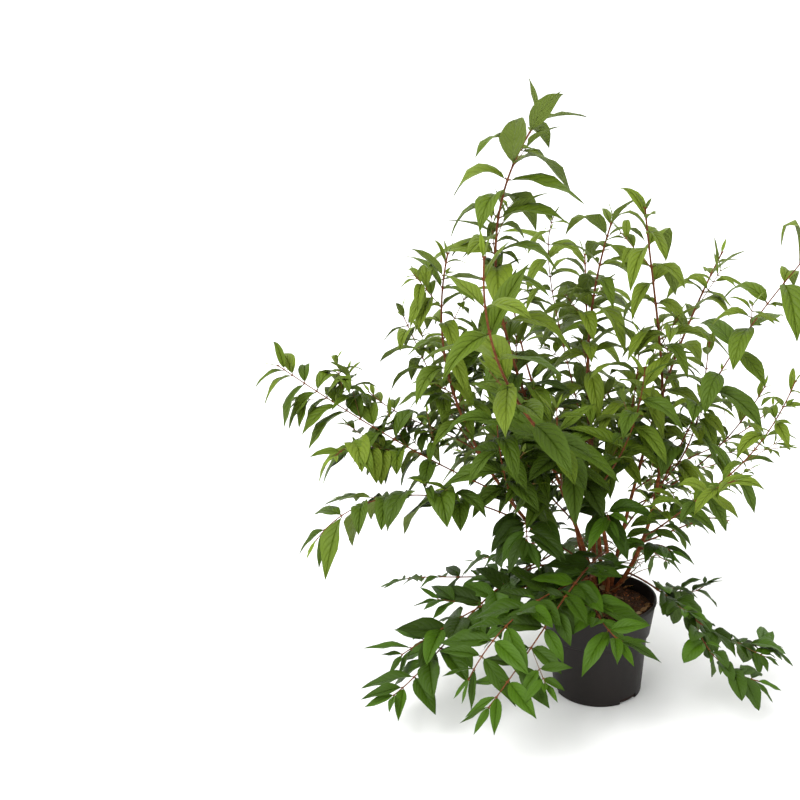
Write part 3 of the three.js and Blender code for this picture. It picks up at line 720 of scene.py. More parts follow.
def hangs_free(points):
    """Whether all points are above the ground and outside the pot with its soil."""
    radius = np.hypot(points[:, 0], points[:, 1])
    low = points[:, 2] < POT_HEIGHT + POT_CLEARANCE
    over_pot = radius < pot_radius_at(points[:, 2]) + POT_CLEARANCE
    return bool(np.all(points[:, 2] > LEAST_HEIGHT) and not np.any(low & over_pot))


def hides_soil(points):
    """Whether a leaf would lie low over the open half of the pot, where the canes' feet and soil show."""
    over = (points[:, 0] > OPEN_SIDE["from"]) & (points[:, 1] > OPEN_SIDE["front"])
    inside = np.hypot(points[:, 0], points[:, 1]) < RIM_RADIUS
    return bool(np.any(over & inside & (points[:, 2] < OPEN_SIDE["height"])))


# %% The pose of a leaf
MIDRIB_STEPS = 20


def turned_about(vector, axis, angle):
    """A vector turned about an axis of length one."""
    across = np.cross(axis, vector)
    return vector * np.cos(angle) + across * np.sin(angle) + axis * (axis @ vector) * (1 - np.cos(angle))


def midrib_direction(outward, droop, t):
    """Where a midrib heads at share t of its length: along outward - up * droop * gain * t^power."""
    sag = droop[:, None] * SAG_GAIN * t**SAG_POWER
    return unit(outward[:, None] - UP * sag[..., None])


def midrib_points(root, outward, droop, length):
    """Points along midribs, found by adding up short steps in the direction at the middle of each step."""
    t = (np.arange(MIDRIB_STEPS) + 0.5) / MIDRIB_STEPS
    steps = midrib_direction(outward, droop, t) * (length / MIDRIB_STEPS)[:, None, None]
    return root[:, None] + np.concatenate([np.zeros((len(root), 1, 3)), np.cumsum(steps, 1)], 1)


def leaf_pose(root, along, radial, spread, droop, roll, length, width):
    """A leaf leaves the stem outwards with its upper face to the sky, and then hangs more and more."""
    outward = along * np.cos(spread) + radial * np.sin(spread)
    upper = UP + along * UPPER_LEAN
    upper = turned_about(unit(upper - outward * (upper @ outward)), outward, roll)
    ways = {"root": root, "outward": outward, "across": np.cross(upper, outward)}
    return {**ways, "droop": droop, "length": length, "width": width}


# %% A pose that hangs free
CHECKED_STEPS = slice(5, None, 3)
TURN_CHOICES = [0, 0.4, -0.4, 0.8, -0.8]
DROOP_CHOICES = [1, 0.5, 0, -0.5]


def gathered(poses, *keys):
    """The figures of many poses as arrays, one array for each key."""
    return [np.array([pose[key] for pose in poses]) for key in keys]


def free_pose(root, along, radial, leaf):
    """The first pose that hangs free, out of a few turns about the stem and a few shares of droop."""
    for droop_share in DROOP_CHOICES:
        for turn in TURN_CHOICES:
            way = turned_about(radial, along, turn)
            pose = leaf_pose(root, along, way, **{**leaf, "droop": leaf["droop"] * droop_share})
            midrib = midrib_points(*gathered([pose], "root", "outward", "droop", "length"))
            path = midrib[0, CHECKED_STEPS]
            margin = pose["across"] * leaf["width"] / 2
            if hides_soil(path):
                continue
            if hangs_free(np.concatenate([path, path[:-2] + margin, path[:-2] - margin])):
                return pose
    return None


# %% Pairs along a stem
def pairs_along(stem):
    """The pairs of leaves on a stem from its tip down, each with its turn, spread, droop and size."""
    line, leaf, seed = stem["line"], stem["leaf"], stem["seed"]
    apart, longer, limper, _ = stem["habit"]
    twist = next(dice(seed)) * np.pi if stem["twist"] is None else stem["twist"]
    gain, tip_gain = (LOW_LEAF_GAIN, LOW_TIP_GAIN) if stem["low"] else (LEAF_GAIN, LEVEL_TIP_GAIN)
    pairs, distance, k = [], FIRST_PAIR_AT, 0
    while distance < line.length * (1 - stem["bare"]) - CLEAR_STEM:
        roll = dice(seed * PAIR_SEEDS + k)
        share = 1 - distance / line.length
        along, sideways, leaning = line.directions(share)
        level = 1 - along[2] ** 2
        turn = (1 - level) * (twist + (1 if k % 2 else -1) * np.pi / 4)
        turn += swing(roll, SWING["turn"] + SWING["level_turn"] * level)
        size = gain * longer * leaf * min(1, TIP_LEAF_SHARE + tip_gain * level + LEAF_GROWTH * k)
        leaves = []
        for around in (turn, turn + np.pi):
            length = size * (1 + swing(roll, SWING["size"]))
            spread = min(FULL_SPREAD, TIP_SPREAD + SPREAD_GROWTH * k) + swing(roll, SWING["spread"])
            droop = limper * min(FULL_DROOP - LEVEL_DROOP_LOSS * level, TIP_DROOP + DROOP_GROWTH * k)
            widening = min(1, YOUNG_WIDTH + YOUNG_WIDTH_GROWTH * k)
            shape = {
                "spread": np.radians(spread),
                "droop": droop * (1 + swing(roll, SWING["droop"])),
                "roll": swing(roll, SWING["roll"] * (1 - LEVEL_ROLL_LOSS * level)),
                "length": length,
                "width": length * (SLIM + BROADER_WHEN_LEVEL * level + stem["rounder"]) * widening,
            }
            leaves.append((sideways * np.cos(around) + leaning * np.sin(around), shape))
        twig = {"draw": next(roll), "side": 0 if next(roll) < 0.5 else 1, "length_draw": next(roll)}
        pairs.append({"k": k, "share": share, "along": along, "leaves": leaves, "twig": twig})
        tightening = min(1, TIP_INTERNODE_SHARE + INTERNODE_GROWTH * (k + 1))
        distance += INTERNODE_SHARE * apart * leaf * tightening * (1 + swing(roll, INTERNODE_SWING))
        k += 1
    return pairs


# %% [markdown]
# ## Growing the whole plant
#
# Every stem now gets its pairs of leaves. At some pairs a twig grows out above a leaf, with smaller
# pairs of its own, and in many other axils sits a tuft, a shoot just begun with two small leaves.
# Nothing is made yet: the loop only notes poses, twigs and buds, so that each kind can be turned
# into one mesh at once. The tone of a leaf is dealt out here too, by its height, its reach outwards,
# its place on the shoot and a throw of the dice. Higher and outer leaves get lighter tones as painted
# light, and lower and inner ones darker tones as painted shade.

# %% Tones by place
# The crown's tones from deep to sunlit are painted shade and painted light: by CROWN_TONE a leaf gets lighter
# with its lift and its reach outwards, besides its youth and a random swing.
TONES = ["deep", "shaded", "middle", "light", "sunlit", "young", "low_deep", "low_middle", "low_light"]
CROWN_FOOT, CROWN_TOP = 250, 900
CROWN_REACH = 330
CROWN_TONE = {"least": 1.0, "lift": 4.2, "outwards": 0.8, "young": 0.2, "young_pairs": 4, "swing": 1.2}
LOW_TONE = {"swing": 2.2, "young": 0.6, "young_pairs": 3}


def lift_of(point):
    """How high a point is between the crown's foot and its top, from 0 to 1."""
    return (point[2] - CROWN_FOOT) / (CROWN_TOP - CROWN_FOOT)


def tone_of(low, k, root, roll, lighter):
    """A leaf's tone: young at the tips, lighter up and outwards as painted light, darker low and inside as
    painted shade; low shoots have tones of their own.
    """
    if low:
        first, last = TONES.index("low_deep"), TONES.index("low_light")
        young = LOW_TONE["young"] if k < LOW_TONE["young_pairs"] else 0
        return first + int(np.clip(next(roll) * LOW_TONE["swing"] + lighter + young, 0, last - first))
    if k == 0:
        return TONES.index("young")
    outwards = np.hypot(root[0], root[1]) / CROWN_REACH
    young = CROWN_TONE["young"] * max(0, CROWN_TONE["young_pairs"] - k)
    light = CROWN_TONE["least"] + CROWN_TONE["lift"] * lift_of(root) + CROWN_TONE["outwards"] * outwards
    light = light + young + lighter
    return int(np.clip(round(light + swing(roll, CROWN_TONE["swing"])), 0, TONES.index("sunlit")))


# %% Twigs
TWIG_CHANCE = {"least": 0.16, "extra": 0.3}
TWIG_FROM_PAIR = 4
TWIG_TILT = np.radians(46)
TWIG_LENGTH = {"least": 42, "extra": 42}
TWIG_LIFT = 0.12
TWIG_LEAF_SHARE = 0.72
TWIG = {"share": 0.5, "most": 1.2, "tip": 0.55}
TWIG_LOWEST = 22
TWIG_CHECKS = np.linspace(0.3, 1, 5)


def twig_chance(low, root):
    """How likely a pair is to bear a twig; in the crown it is likelier lower down."""
    return drawn(TWIG_CHANCE, 0 if low else np.clip(1 - lift_of(root), 0, 1))


def twig_line(root, along, radial, length):
    """A twig leaves the stem at a tilt above a leaf and curls up a little."""
    way = along * np.cos(TWIG_TILT) + radial * np.sin(TWIG_TILT)
    end = root + way * length + UP * TWIG_LIFT * length
    first = root + way * length / 3
    second = end - way * length / 3 - UP * TWIG_LIFT / 2 * length
    return Stem([root, first, second, end], unit(np.cross(UP, way)))


def twig_from(stem, pair, root):
    """The twig above one leaf of a pair, or nothing where it would hang too low."""
    length = drawn(TWIG_LENGTH, pair["twig"]["length_draw"])
    line = twig_line(root, pair["along"], pair["leaves"][pair["twig"]["side"]][0], length)
    if not hangs_free(line.at(TWIG_CHECKS) - UP * (TWIG_LOWEST - LEAST_HEIGHT)):
        return None
    foot = min(TWIG["most"], TWIG["share"] * float(radius_at(stem, pair["share"])))
    leaf, seed = stem["leaf"] * TWIG_LEAF_SHARE, stem["seed"] * TWIG_SEEDS + pair["k"]
    own = {"line": line, "foot": foot, "tip": TWIG["tip"], "flare": 0, "bare": 0, "leaf": leaf, "seed": seed}
    return {**stem, **own, "twist": None}


# %% Notes of leaves and buds
LEAF_ROOT_SHARE = 0.8
BUD_LEAN = 0.8
LEAVES = {"cane": [], "shoot": [], "low": [], "twig": []}
BUDS = []


def add_leaf(kind, stem, k, roll, root, along, radial, shape):
    """Notes the pose of a leaf with its tone and a draw of its own, unless it can't hang free or is lost."""
    pose = free_pose(root, along, radial, shape)
    tone = tone_of(stem["low"], k, root, roll, stem["habit"][3])
    draw, kept = next(roll), next(roll) >= LOST
    if pose is not None and kept:
        LEAVES[kind].append({**pose, "tone": tone, "draw": draw})


def add_pairs(kind, stem):
    """Notes every pair of leaves on a stem, and a bud above each leaf."""
    stem["pairs"] = pairs_along(stem)
    for pair in stem["pairs"]:
        roll = dice(stem["seed"] * TWIG_SEEDS + pair["k"] + LEAF_SEEDS)
        root = stem["line"].at(pair["share"])
        radius = radius_at(stem, pair["share"])
        for radial, shape in pair["leaves"]:
            foot = root + radial * radius * LEAF_ROOT_SHARE
            add_leaf(kind, stem, pair["k"], roll, foot, pair["along"], radial, shape)
            BUDS.append((root + radial * radius, unit(pair["along"] + radial * BUD_LEAN), radius))


# %% Tufts
TUFT_CHANCE = 0.26
TUFT_FROM_PAIR = 2
TUFT_TONE_PAIR = 2
TUFT_LEAF = {"least": 11, "extra": 14, "spread": 0.6, "droop": 0.3, "roll": 0.5}
TUFT_STEM = 4


def add_tuft(stem, roll, root, along, radial):
    """Notes two small leaves, one to each side of a short stem that leaves an axil halfway outwards."""
    way = unit(along + radial)
    across = unit(np.cross(way, radial))
    length = drawn(TUFT_LEAF, next(roll))
    for side in (1, -1):
        shape = {"spread": TUFT_LEAF["spread"], "droop": TUFT_LEAF["droop"]}
        shape.update(roll=swing(roll, TUFT_LEAF["roll"]), length=length, width=length * SLIM)
        add_leaf("twig", stem, TUFT_TONE_PAIR, roll, root + way * TUFT_STEM, way, across * side, shape)


# %% Grow
LOW_WORDS = ("skirt", "apron", "inner", "low")
DEEP_WORDS = ("skirt", "apron", "inner")
TWIGS = []


def has_word(name, words):
    """Whether one of the words is in a stem's name."""
    return any(word in name for word in words)


def add_branches(stem, pair):
    """Notes the twig of a pair, if it bears one, and the tufts in the axils that are left free."""
    roll = dice(stem["seed"] * TWIG_SEEDS + pair["k"])
    root = stem["line"].at(pair["share"])
    likely = pair["twig"]["draw"] < twig_chance(stem["low"], root)
    branches = pair["k"] >= TWIG_FROM_PAIR and likely
    twig = twig_from(stem, pair, root) if branches else None
    if twig is not None:
        add_pairs("twig", twig)
        TWIGS.append(twig)
    for side, (radial, _) in enumerate(pair["leaves"]):
        taken = branches and side == pair["twig"]["side"]
        if pair["k"] >= TUFT_FROM_PAIR and not taken and next(roll) < TUFT_CHANCE:
            add_tuft(stem, roll, root, pair["along"], radial)


for name, stem in STEMS.items():
    stem.update(low=has_word(name, DEEP_WORDS), habit=HABITS.get(name, USUAL_HABIT))
    stem.update(rounder=ROUNDER.get(name, 0.0), twist=TWISTS.get(name))
    add_pairs("low" if has_word(name, LOW_WORDS) else "cane" if name in CANES else "shoot", stem)
    for pair in stem["pairs"]:
        add_branches(stem, pair)
print("leaves:", {kind: len(poses) for kind, poses in LEAVES.items()})
print(len(TWIGS), "twigs and", len(BUDS), "buds")

# %% [markdown]
# ## Bark
#
# The canes are thin tubes, so what makes them look alive is small: a swollen ring at every pair of
# leaves, a taper, and on the old wood a shallow relief where the thin bark splits and peels. A tube
# is swept along the stem's curve, and its radius is multiplied by the swelling and by the relief.
# Old wood is orange-brown, the year's shoots are a dark red-brown, and twigs are paler.

# %% Relief of bark
NODE_SWELL = 0.3
NODE_WIDTH = 2.2
FLAKE_DEPTH = 0.09
FLAKE_PHASE = 1.7
RIDGES = {"count": 5, "sway": 2, "length": 17}
PLATES = {"length": 5.3, "sway": 3}
BREAKS = {"length": 11, "turns": 2}


def ring_shares(stem, start, end, step):
    """Shares for the rings of a tube: even steps, and three more at each pair of leaves for its swelling."""
    line = stem["line"]
    even = np.linspace(start, end, max(2, int(line.length * (end - start) / step) + 1))
    offsets = np.array([-NODE_WIDTH, 0, NODE_WIDTH]) / line.length
    pairs = np.array([pair["share"] for pair in stem["pairs"]])
    shares = np.concatenate([even, (pairs[:, None] + offsets).ravel()]) if len(pairs) else even
    return np.unique(np.round(shares[(shares >= start) & (shares <= end)], 5))


def swelling(stem, shares):
    """One, and more near each pair of leaves: a bell curve of the distance to the pair."""
    pairs = np.array([pair["share"] for pair in stem["pairs"]])
    if not len(pairs):
        return np.ones_like(shares)
    distance = (shares[:, None] - pairs) * stem["line"].length / NODE_WIDTH
    return 1 + NODE_SWELL * np.exp(-(distance**2)).sum(1)


def flakes(stem, shares, angle):
    """The relief of old bark: ridges round the cane, and plates along it that slower waves break up."""
    height = shares[:, None] * stem["line"].length
    phase = stem["seed"] * FLAKE_PHASE
    ridges = np.sin(RIDGES["count"] * angle + RIDGES["sway"] * np.sin(height / RIDGES["length"] + phase))
    plates = np.sin(height / PLATES["length"] + PLATES["sway"] * np.sin(angle + phase))
    breaks = np.sin(height / BREAKS["length"] - BREAKS["turns"] * angle)
    return 1 + FLAKE_DEPTH * (ridges + plates * breaks) / 2


# %% Tubes along stems
def spokes_of(angle, first, second):
    """Directions round an axis: cos a * first + sin a * second for each angle a."""
    return np.cos(angle)[:, None] * first[:, None] + np.sin(angle)[:, None] * second[:, None]


def tube(stem, start, end, sides, step, rough):
    """Rings on the stem: centre + radius * (cos a * sideways + sin a * leaning), and a pole at each end."""
    line = stem["line"]
    shares = ring_shares(stem, start, end, step)
    angle = round_angles(sides)
    _, sideways, leaning = line.directions(shares)
    radius = (radius_at(stem, shares) * swelling(stem, shares))[:, None]
    if rough:
        radius = radius * flakes(stem, shares, angle)
    radius = np.broadcast_to(radius, (len(shares), sides))[..., None]
    rings = line.at(shares)[:, None] + spokes_of(angle, sideways, leaning) * radius
    poles = line.at([shares[0], shares[-1]])
    quads, caps = ring_faces(len(shares), sides)
    return np.concatenate([rings.reshape(-1, 3), poles]), [quads, caps]


def join(shapes):
    """Many shapes as one: their points in a row, and their faces moved on by the points before them."""
    points, faces, before = [], {}, 0
    for shape_points, shape_faces in shapes:
        points.append(shape_points)
        for rows in shape_faces:
            faces.setdefault(rows.shape[1], []).append(rows + before)
        before += len(shape_points)
    return np.concatenate(points), [np.concatenate(rows) for rows in faces.values()]


def copies(faces, count, size):
    """The faces of one shape made anew for each of count shapes that have size points."""
    first = (np.arange(count) * size)[:, None, None]
    return [(rows + first).reshape(-1, rows.shape[1]) for rows in faces]


# %% Bark finish
def bark_finish(name, first, second, depth, roughness):
    """Thin bark: two browns in small patches, and a fine grain for relief."""
    material, tree, shader = new_material(name, roughness, gloss=0.15)
    bark = add_mottle(tree, first, second, patch_scale=160.0, grain_scale=900.0, contrast=2.4)
    tree.links.new(bark["Colour"], shader.inputs["Base Color"])
    add_bump(tree, shader, bark["Grain"], depth, strength=0.6)
    return material


OLD_BARK = bark_finish("peeling_old_bark", colour(88, 42, 18), colour(134, 76, 38), 0.0006, 0.75)
SHOOT_BARK = bark_finish("red_brown_shoot_bark", colour(84, 40, 20), colour(116, 68, 36), 0.0003, 0.6)
TWIG_BARK = bark_finish("pale_twig_bark", colour(98, 62, 40), colour(116, 92, 52), 0.0002, 0.6)
print("barks:", [bark.name for bark in (OLD_BARK, SHOOT_BARK, TWIG_BARK)])

# %% Canes, shoots and twigs
OLD_WOOD = {"sides": 14, "step": 3, "rough": True}
SHOOT_WOOD = {"sides": 8, "step": 6, "rough": False}
TWIG_WOOD = {"sides": 5, "step": 9, "rough": False}

old_parts = [tube(stem, 0, stem["bare"], **OLD_WOOD) for stem in STEMS.values() if stem["bare"]]
canes = put_piece("old_canes", *join(old_parts), [OLD_BARK])
settle(canes, "bark", *[f"{name}_bough" for name, stem in STEMS.items() if stem["bare"]])

shoot_parts = [tube(stem, stem["bare"], 1, **SHOOT_WOOD) for stem in STEMS.values()]
settle(put_piece("leafy_shoots", *join(shoot_parts), [SHOOT_BARK]), "bark")

twig_parts = [tube(stem, 0, 1, **TWIG_WOOD) for stem in TWIGS]
settle(put_piece("fine_twigs", *join(twig_parts), [TWIG_BARK]), "bark")

# %% [markdown]
# ## Buds
#
# Where a leaf's stalk meets the stem sits a pointed bud. Each is only a few millimetres long, but there
# is one above every leaf, and without them the stems would look like wire. A bud is three small rings
# between two poles, and all buds are worked out as one array.

# %% Buds in the axils
BUD_LENGTH = 3.0
BUD_WIDTH = 0.55
BUD_GROWTH = 0.5
BUD_RINGS = np.array([[0.7, 0.15], [1.0, 0.42], [0.55, 0.75]])
BUD_SIDES = 5
NEARLY_UP = UP + [0.01, 0, 0]


def make_buds():
    """A pointed bud for each axil: three rings about its axis, scaled by the stem's radius there."""
    roots, ways, radii = (np.array(column) for column in zip(*BUDS))
    across = unit(np.cross(ways, NEARLY_UP))
    spokes = spokes_of(round_angles(BUD_SIDES), across, np.cross(ways, across))[:, None]
    size = (1 + radii * BUD_GROWTH)[:, None, None, None]
    root, way = roots[:, None, None], ways[:, None, None]
    width, height = BUD_RINGS[:, 0, None, None] * BUD_WIDTH * size, BUD_RINGS[:, 1, None, None]
    rings = root + way * height * BUD_LENGTH * size + spokes * width
    poles = np.stack([roots, roots + ways * BUD_LENGTH * size[:, 0, 0]], 1)
    points = np.concatenate([rings.reshape(len(BUDS), -1, 3), poles], 1)
    faces = [rows[:, ::-1] for rows in ring_faces(len(BUD_RINGS), BUD_SIDES)]
    bud_faces = copies(faces, len(BUDS), points.shape[1])
    settle(put_piece("axil_buds", points.reshape(-1, 3), bud_faces, [SHOOT_BARK]), "bark")


make_buds()

# %% [markdown]
# ## Leaves
#
# A leaf is a thin blade on a short stalk: widest below the middle, drawn out to a fine point, folded
# up a little along its midrib, puffed between its veins, and bent over so that its outer half hangs.
# All of that fits a grid of five points across and eleven along. The grid is worked out for every leaf
# of a kind at once. Its underside needs only a line of points below the midrib, so each leaf is a closed
# blade of a few dozen faces. The outline and the bend are real shape, and the veins are relief.

# %% Outline of a blade
ROW_STEPS = np.array([0, 1, 2, 4, 6, 8, 11, 14, 16, 18, 20])
ROWS = ROW_STEPS / MIDRIB_STEPS
COLUMNS = np.array([-1, -0.5, 0, 0.5, 1])
MIDDLE = len(COLUMNS) // 2
STALK_END = 0.045
SLIM_OUTLINE = (0.8, 1.3)
BROAD_OUTLINE = (0.52, 0.82)


def outline(t, broad):
    """Half-width along the blade as a share of its widest: x^a (1-x)^b scaled to one, a and b by leaf."""
    x = np.clip((t - STALK_END) / (1 - STALK_END), 0, 1)
    ends = zip(SLIM_OUTLINE, BROAD_OUTLINE)
    base, tip = (slim + (wide - slim) * broad[:, None] for slim, wide in ends)
    widest = base / (base + tip)
    return x**base * (1 - x) ** tip / (widest**base * (1 - widest) ** tip)


# %% Faces of a blade
def blade_faces():
    """One blade's faces of four and of three, whether each is below, and how many points it has."""
    rows, columns = len(ROWS) - 1, len(COLUMNS)
    upper = np.arange(rows * columns).reshape(rows, columns)
    tip = rows * columns
    keel = tip + 1 + np.arange(rows)
    lower = np.column_stack([upper[:, 0], keel, upper[:, -1]])

    def quads(grid):
        """The faces between neighbouring rows and columns of a grid."""
        return np.stack([grid[:-1, :-1], grid[1:, :-1], grid[1:, 1:], grid[:-1, 1:]], -1).reshape(-1, 4)

    def fan(grid):
        """The faces from the last row of a grid to the tip."""
        return np.stack([grid[-1, :-1], np.full(grid.shape[1] - 1, tip), grid[-1, 1:]], -1)

    foot, under = upper[0], keel[0]
    four = [quads(upper), quads(lower)[:, [0, 3, 2, 1]], np.array([[*foot[1:4], under]])]
    three = [fan(upper), fan(lower)[:, ::-1], np.array([[*foot[:2], under], [*foot[3:], under]])]
    below = [np.repeat([False, True, True], [len(part) for part in parts]) for parts in (four, three)]
    return np.concatenate(four), np.concatenate(three), *below, tip + 1 + rows


# %% Points of many blades
STALK_HALF_WIDTH = 0.55
BLADE_THICKNESS = 0.4
STALK_THICKNESS = 0.8
THICK_UNTIL = 0.1
BROAD_WIDTH = 0.5
FOLD = 0.34
FOLD_AT_FOOT = 1.2
FOLD_LOSS = 0.8
LEAST_FOLD = 0.5
PUFF = 0.13
RIPPLE = 0.14
RIPPLE_COUNT = 1.7
TWIST = 0.5
TWIST_FROM = 0.4
WIDTH_SWING = 0.12

# A leaf has one draw of its own; what is left after the point of these products gives it two more
WIDTH_DRAW = 31
WAVE_DRAW = 97


def blade_points(poses):
    """The points of all blades of a kind: midrib + across * width + normal * (fold, puff and ripple)."""
    keys = ("root", "outward", "across", "droop", "length", "width", "draw")
    root, outward, side, droop, length, width, draw = gathered(poses, *keys)
    t, s = ROWS[None, :, None], COLUMNS[None, None, :]
    midrib = midrib_points(root, outward, droop, length)[:, ROW_STEPS]
    along = midrib_direction(outward, droop, ROWS)
    flat_across = unit(side[:, None] - along * np.sum(along * side[:, None], -1, keepdims=True))
    flat_normal = np.cross(along, flat_across)
    twist = ((draw - 0.5) * 2 * TWIST)[:, None, None] * (t - TWIST_FROM)
    across = flat_across * np.cos(twist) + flat_normal * np.sin(twist)
    normal = np.cross(along, across)
    broad = np.clip((width / length - SLIM) / (BROAD_WIDTH - SLIM), 0, 1)
    width = width * (1 + WIDTH_SWING * (2 * np.modf(draw * WIDTH_DRAW)[0] - 1))
    stalk = STALK_HALF_WIDTH * (ROWS < 1)
    half = np.maximum(width[:, None] / 2 * outline(ROWS, broad), stalk)[..., None]
    wave = np.modf(draw * WAVE_DRAW)[0][:, None, None]
    fold = FOLD * (FOLD_AT_FOOT - FOLD_LOSS * t) * (LEAST_FOLD + wave)
    ripple = RIPPLE * np.sin(2 * np.pi * (RIPPLE_COUNT * t + wave) + np.sign(s)) * s**2
    lift = half * (np.abs(s) * np.sin(fold) + PUFF * (1 - (2 * np.abs(s) - 1) ** 2) + ripple)
    grid = midrib[:, :, None] + across[:, :, None] * (s * half * np.cos(fold))[..., None]
    grid = grid + normal[:, :, None] * lift[..., None]
    thickness = np.where(ROWS < THICK_UNTIL, STALK_THICKNESS, BLADE_THICKNESS)[:, None, None]
    below = (grid[:, :, MIDDLE, None] - normal[:, :, None] * thickness)[:, :-1]
    parts = [grid[:, :-1], grid[:, -1, MIDDLE], below]
    return np.concatenate([part.reshape(len(poses), -1, 3) for part in parts], 1)


# %% Blades into a mesh
FULL_LENGTH = 60


def make_leaves(name, poses, materials, backs):
    """One mesh of many blades; the upper faces take the leaf's tone, and the lower ones its paler back."""
    four, three, *below, size = blade_faces()
    tone, length = gathered(poses, "tone", "length")
    back = np.array(backs)[tone]
    tones = [np.where(under, back[:, None], tone[:, None]).ravel() for under in below]
    t, s = np.meshgrid(ROWS[:-1], COLUMNS, indexing="ij")
    upper_uv = np.stack([t, s / 2 + 0.5], -1)
    uv = np.concatenate([upper_uv.reshape(-1, 2), [[1, 0.5]], upper_uv[:, MIDDLE]])
    points, faces = blade_points(poses).reshape(-1, 3), copies([four, three], len(poses), size)
    piece = put_piece(name, points, faces, materials, np.concatenate(tones), np.tile(uv, (len(poses), 1)))
    share = np.clip(length / FULL_LENGTH, 0, 1) ** 2
    layer = piece.data.attributes.new("leaf_share", "FLOAT", "POINT")
    layer.data.foreach_set("value", np.repeat(share, size).astype(np.float32))
    return piece


# %% [markdown]
# ## The finish of a leaf
#
# Seen close, the blade is quilted: pairs of side veins leave the midrib, bend towards the tip, and lie
# sunk in the surface, which is puffed up between them. The group below draws them from the blade's own
# map, whose first number runs along the leaf and whose second runs across it. The veins are darker
# lines above and pale ribs below. Their relief is stronger on large leaves than on small ones, so each
# blade carries its share of it as an attribute.

# %% Figures of the veins
VEIN_PAIRS = 7.0
VEIN_SLOPE = 0.26
VEIN_CURVE = 0.1
SIDE_VEIN = {"width": 0.36, "share": 0.9}
MIDRIB = {"width": 0.08, "share": 0.65}
NET = {"cells": (17.0, 7.0, 1.0), "width": 0.16, "share": 0.38, "relief": 0.14}
MARGIN = {"from": 0.55, "left": 0.1}
QUILT_POWER = 0.6
FALLING = (1.0, 0.0)
print("a leaf has", round(VEIN_PAIRS), "pairs of side veins")


# %% The vein group
def build_veins():
    """Vein mask and quilt height: the veins lie where (u - slope*s - curve*s^2) * pairs is a whole number."""
    group, given, made = new_group(
        "leaf veins",
        [("Map", "NodeSocketVector", None), ("Pairs", "NodeSocketFloat", VEIN_PAIRS)],
        [("Vein", "NodeSocketFloat"), ("Height", "NodeSocketFloat")],
    )

    def math(operation, *values):
        """One Math node of this group."""
        return add_math(group, operation, *values)

    def times(first, second):
        """The product of two values."""
        return add_math(group, "MULTIPLY", first, second)

    parts = add_node(group, "ShaderNodeSeparateXYZ", {"Vector": given["Map"]}).outputs
    s = times(math("ABSOLUTE", math("SUBTRACT", parts[1], 0.5)), 2.0)
    straight = math("SUBTRACT", parts[0], times(s, VEIN_SLOPE))
    start = math("SUBTRACT", straight, times(times(s, s), VEIN_CURVE))
    wave = math("ABSOLUTE", math("SINE", times(times(start, given["Pairs"]), np.pi)))
    side = add_range(group, wave, (0.0, SIDE_VEIN["width"]), FALLING)
    midrib = add_range(group, s, (0.0, MIDRIB["width"]), FALLING)
    fade = add_range(group, s, (MARGIN["from"], 1.0), (1.0, MARGIN["left"]))
    cells = add_node(group, "ShaderNodeVectorMath", {0: given["Map"], 1: NET["cells"]}, operation="MULTIPLY")
    place = {"Vector": cells.outputs[0], "Scale": 1.0}
    net = add_node(group, "ShaderNodeTexVoronoi", place, feature="DISTANCE_TO_EDGE")
    line = add_range(group, net.outputs["Distance"], (0.0, NET["width"]), FALLING)
    main = math("MAXIMUM", times(times(side, fade), SIDE_VEIN["share"]), times(midrib, MIDRIB["share"]))
    group.links.new(math("MAXIMUM", times(line, NET["share"]), main), made["Vein"])
    quilt = times(math("POWER", wave, QUILT_POWER), fade)
    sunk = math("ADD", midrib, times(line, NET["relief"]))
    group.links.new(math("SUBTRACT", quilt, sunk), made["Height"])
    return group


VEINS = build_veins()
print("groups now:", [group.name for group in bpy.data.node_groups])

# %% Leaf finish
VEIN_RELIEF = 0.001
FINE_RELIEF = 0.0005
DARK_VEIN = 0.8
FAINT_VEIN = 0.92
LIGHTER_PATCH = 1.25


def scaled(tone, times):
    """A colour with its light multiplied, and nothing past one."""
    return (*(min(1.0, value * times) for value in tone[:3]), 1.0)


def leaf_finish(name, tone, relief=VEIN_RELIEF, vein_tone=DARK_VEIN, roughness=0.5):
    """A leaf's surface: its tone, a little mottled, with darker or paler veins and their relief."""
    material, tree, shader = new_material(name, roughness, gloss=0.14)
    own_map = add_node(tree, "ShaderNodeUVMap", uv_map="surface").outputs["UV"]
    veins = add_node(tree, "ShaderNodeGroup", {"Map": own_map, "Pairs": VEIN_PAIRS}, node_tree=VEINS).outputs
    lighter = scaled(tone, LIGHTER_PATCH)
    blade = add_mottle(tree, tone, lighter, patch_scale=30.0, grain_scale=1500.0, contrast=1.0)
    surface = add_blend(tree, veins["Vein"], blade["Colour"], scaled(tone, vein_tone))
    tree.links.new(surface, shader.inputs["Base Color"])
    share = add_node(tree, "ShaderNodeAttribute", attribute_name="leaf_share").outputs["Fac"]
    add_bump(tree, shader, add_math(tree, "MULTIPLY", veins["Height"], share), relief)
    return material


